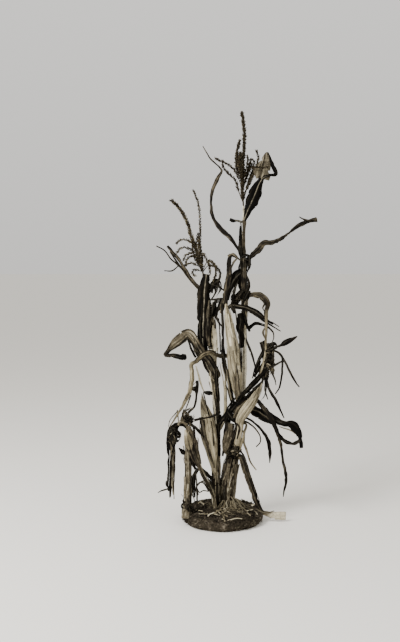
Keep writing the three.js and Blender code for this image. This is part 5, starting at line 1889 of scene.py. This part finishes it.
# Each knot has its shade, its middle, its half sizes, and the number and the length of its shreds.
TANGLES = {
    Tone.DARK: [
        Tangle(0.12, (-194, -24, 348), (28, 14, 38), 16, 80),
        Tangle(0.15, (-138, -86, 420), (16, 12, 24), 8, 46),
        Tangle(0.06, (188, -98, 640), (24, 12, 80), 26, 80),
        Tangle(0.06, (198, -100, 701), (24, 12, 22), 9, 55),
        Tangle(0.06, (48, -38, 278), (34, 10, 26), 15, 60),
        Tangle(0.15, (-142, -76, 58), (24, 22, 34), 12, 60),
        Tangle(0.12, (-38, -12, 940), (16, 10, 26), 7, 50),
        Tangle(0.06, (96, -22, 1048), (24, 8, 26), 8, 50),
        Tangle(0.10, (56, -32, 900), (28, 8, 28), 9, 55),
    ],
    Tone.GREY: [
        Tangle(0.15, (-138, -86, 412), (14, 10, 20), 4, 40),
        Tangle(0.30, (190, -98, 640), (24, 12, 76), 16, 70),
        Tangle(0.35, (48, -40, 280), (30, 8, 26), 6, 50),
        Tangle(0.30, (-196, -24, 340), (24, 12, 36), 6, 70),
    ],
}


@dataclass
class Studio:
    """A pale floor, soft light and a camera at the photograph's own place."""

    floor_colour: str = "#dddad3"
    air_colour: str = "#f4f2ee"
    air_low: float = 0.92
    air_high: float = 1.45
    lens: float = 45.27
    shift: float = -0.0746

    def build(self) -> None:
        """Builds the studio."""
        self.floor()
        self.light()
        self.camera()

    def floor(self) -> None:
        """Lays a wide matt floor."""
        sheet = bmesh.new()
        bmesh.ops.create_circle(sheet, cap_ends=True, segments=96, radius=900.0)
        mesh = bpy.data.meshes.new("floor")
        sheet.to_mesh(mesh)
        sheet.free()
        paint = bpy.data.materials.new("matt_floor_paint")
        paint.use_nodes = True
        shader = paint.node_tree.nodes["Principled BSDF"]
        shader.inputs["Base Color"].default_value = linear(self.floor_colour)
        shader.inputs["Roughness"].default_value = 0.95
        mesh.materials.append(paint)
        floor = bpy.data.objects.new("floor", mesh)
        bpy.context.scene.collection.objects.link(floor)

    def light(self) -> None:
        """Hangs one large soft light at the front left, and fills the rest with pale air."""
        world = bpy.data.worlds.new("studio_air")
        world.use_nodes = True
        nodes = Nodes(world.node_tree)
        air = nodes.tree.nodes["Background"]
        air.inputs["Color"].default_value = linear(self.air_colour)
        heading = nodes.add("TexCoord").outputs["Generated"]
        height = nodes.add("SeparateXYZ", {0: heading}).outputs[2]
        strength = nodes.ramp(height, 0.0, 1.0, self.air_low, self.air_high)
        nodes.tree.links.new(strength, air.inputs["Strength"])
        bpy.context.scene.world = world
        for name, place, size, power in (
            ("soft_key", (-2.3, -2.2, 3.0), 1.4, 280.0),
            ("soft_fill", (2.4, -2.0, 1.6), 2.0, 18.0),
        ):
            lamp = bpy.data.lights.new(name, "AREA")
            lamp.size = size
            lamp.energy = power
            holder = bpy.data.objects.new(name, lamp)
            holder.location = place
            aim = Vector((0.0, 0.0, 0.8)) - holder.location
            holder.rotation_euler = aim.to_track_quat("-Z", "Y").to_euler()
            bpy.context.scene.collection.objects.link(holder)

    def camera(self) -> None:
        """Stands the camera where the photograph was taken from, level."""
        view = bpy.data.cameras.new("camera")
        view.lens = self.lens
        view.sensor_width = 36.0
        view.shift_y = self.shift
        view.clip_end = 2000.0
        holder = bpy.data.objects.new("camera", view)
        holder.location = (EYE_X * MM, -EYE_DISTANCE * MM, EYE_HEIGHT * MM)
        holder.rotation_euler = (math.pi / 2, 0, 0)
        bpy.context.scene.collection.objects.link(holder)
        bpy.context.scene.camera = holder


def main() -> None:
    """Builds the plant from the ground up, and then its studio."""
    logging.basicConfig(level=logging.INFO, format="%(message)s")
    RootBall().build()
    stalks = {stalk.name: stalk for stalk in STALKS}
    for stalk in STALKS:
        stalk.build()
    for tone in (Tone.DARK, Tone.GREY, Tone.STRAW):
        Sheaths(tone, [part for part in SHEATHS if part.tone is tone], stalks).build()
    for piece in (*EARS, *TASSELS, *BLADES):
        piece.build()
    works = {tone: Work() for tone in (Tone.DARK, Tone.GREY, Tone.STRAW, Tone.HUSK)}
    for name, low, high, count in FIBRES:
        Fibres(stalks[name], low, high, count).spread(works)
    for tone, work in works.items():
        Shreds(tone, [*STRIPS.get(tone, []), *TANGLES.get(tone, [])], work).build()
    Litter().build()
    Studio().build()


if __name__ == "__main__":
    main()
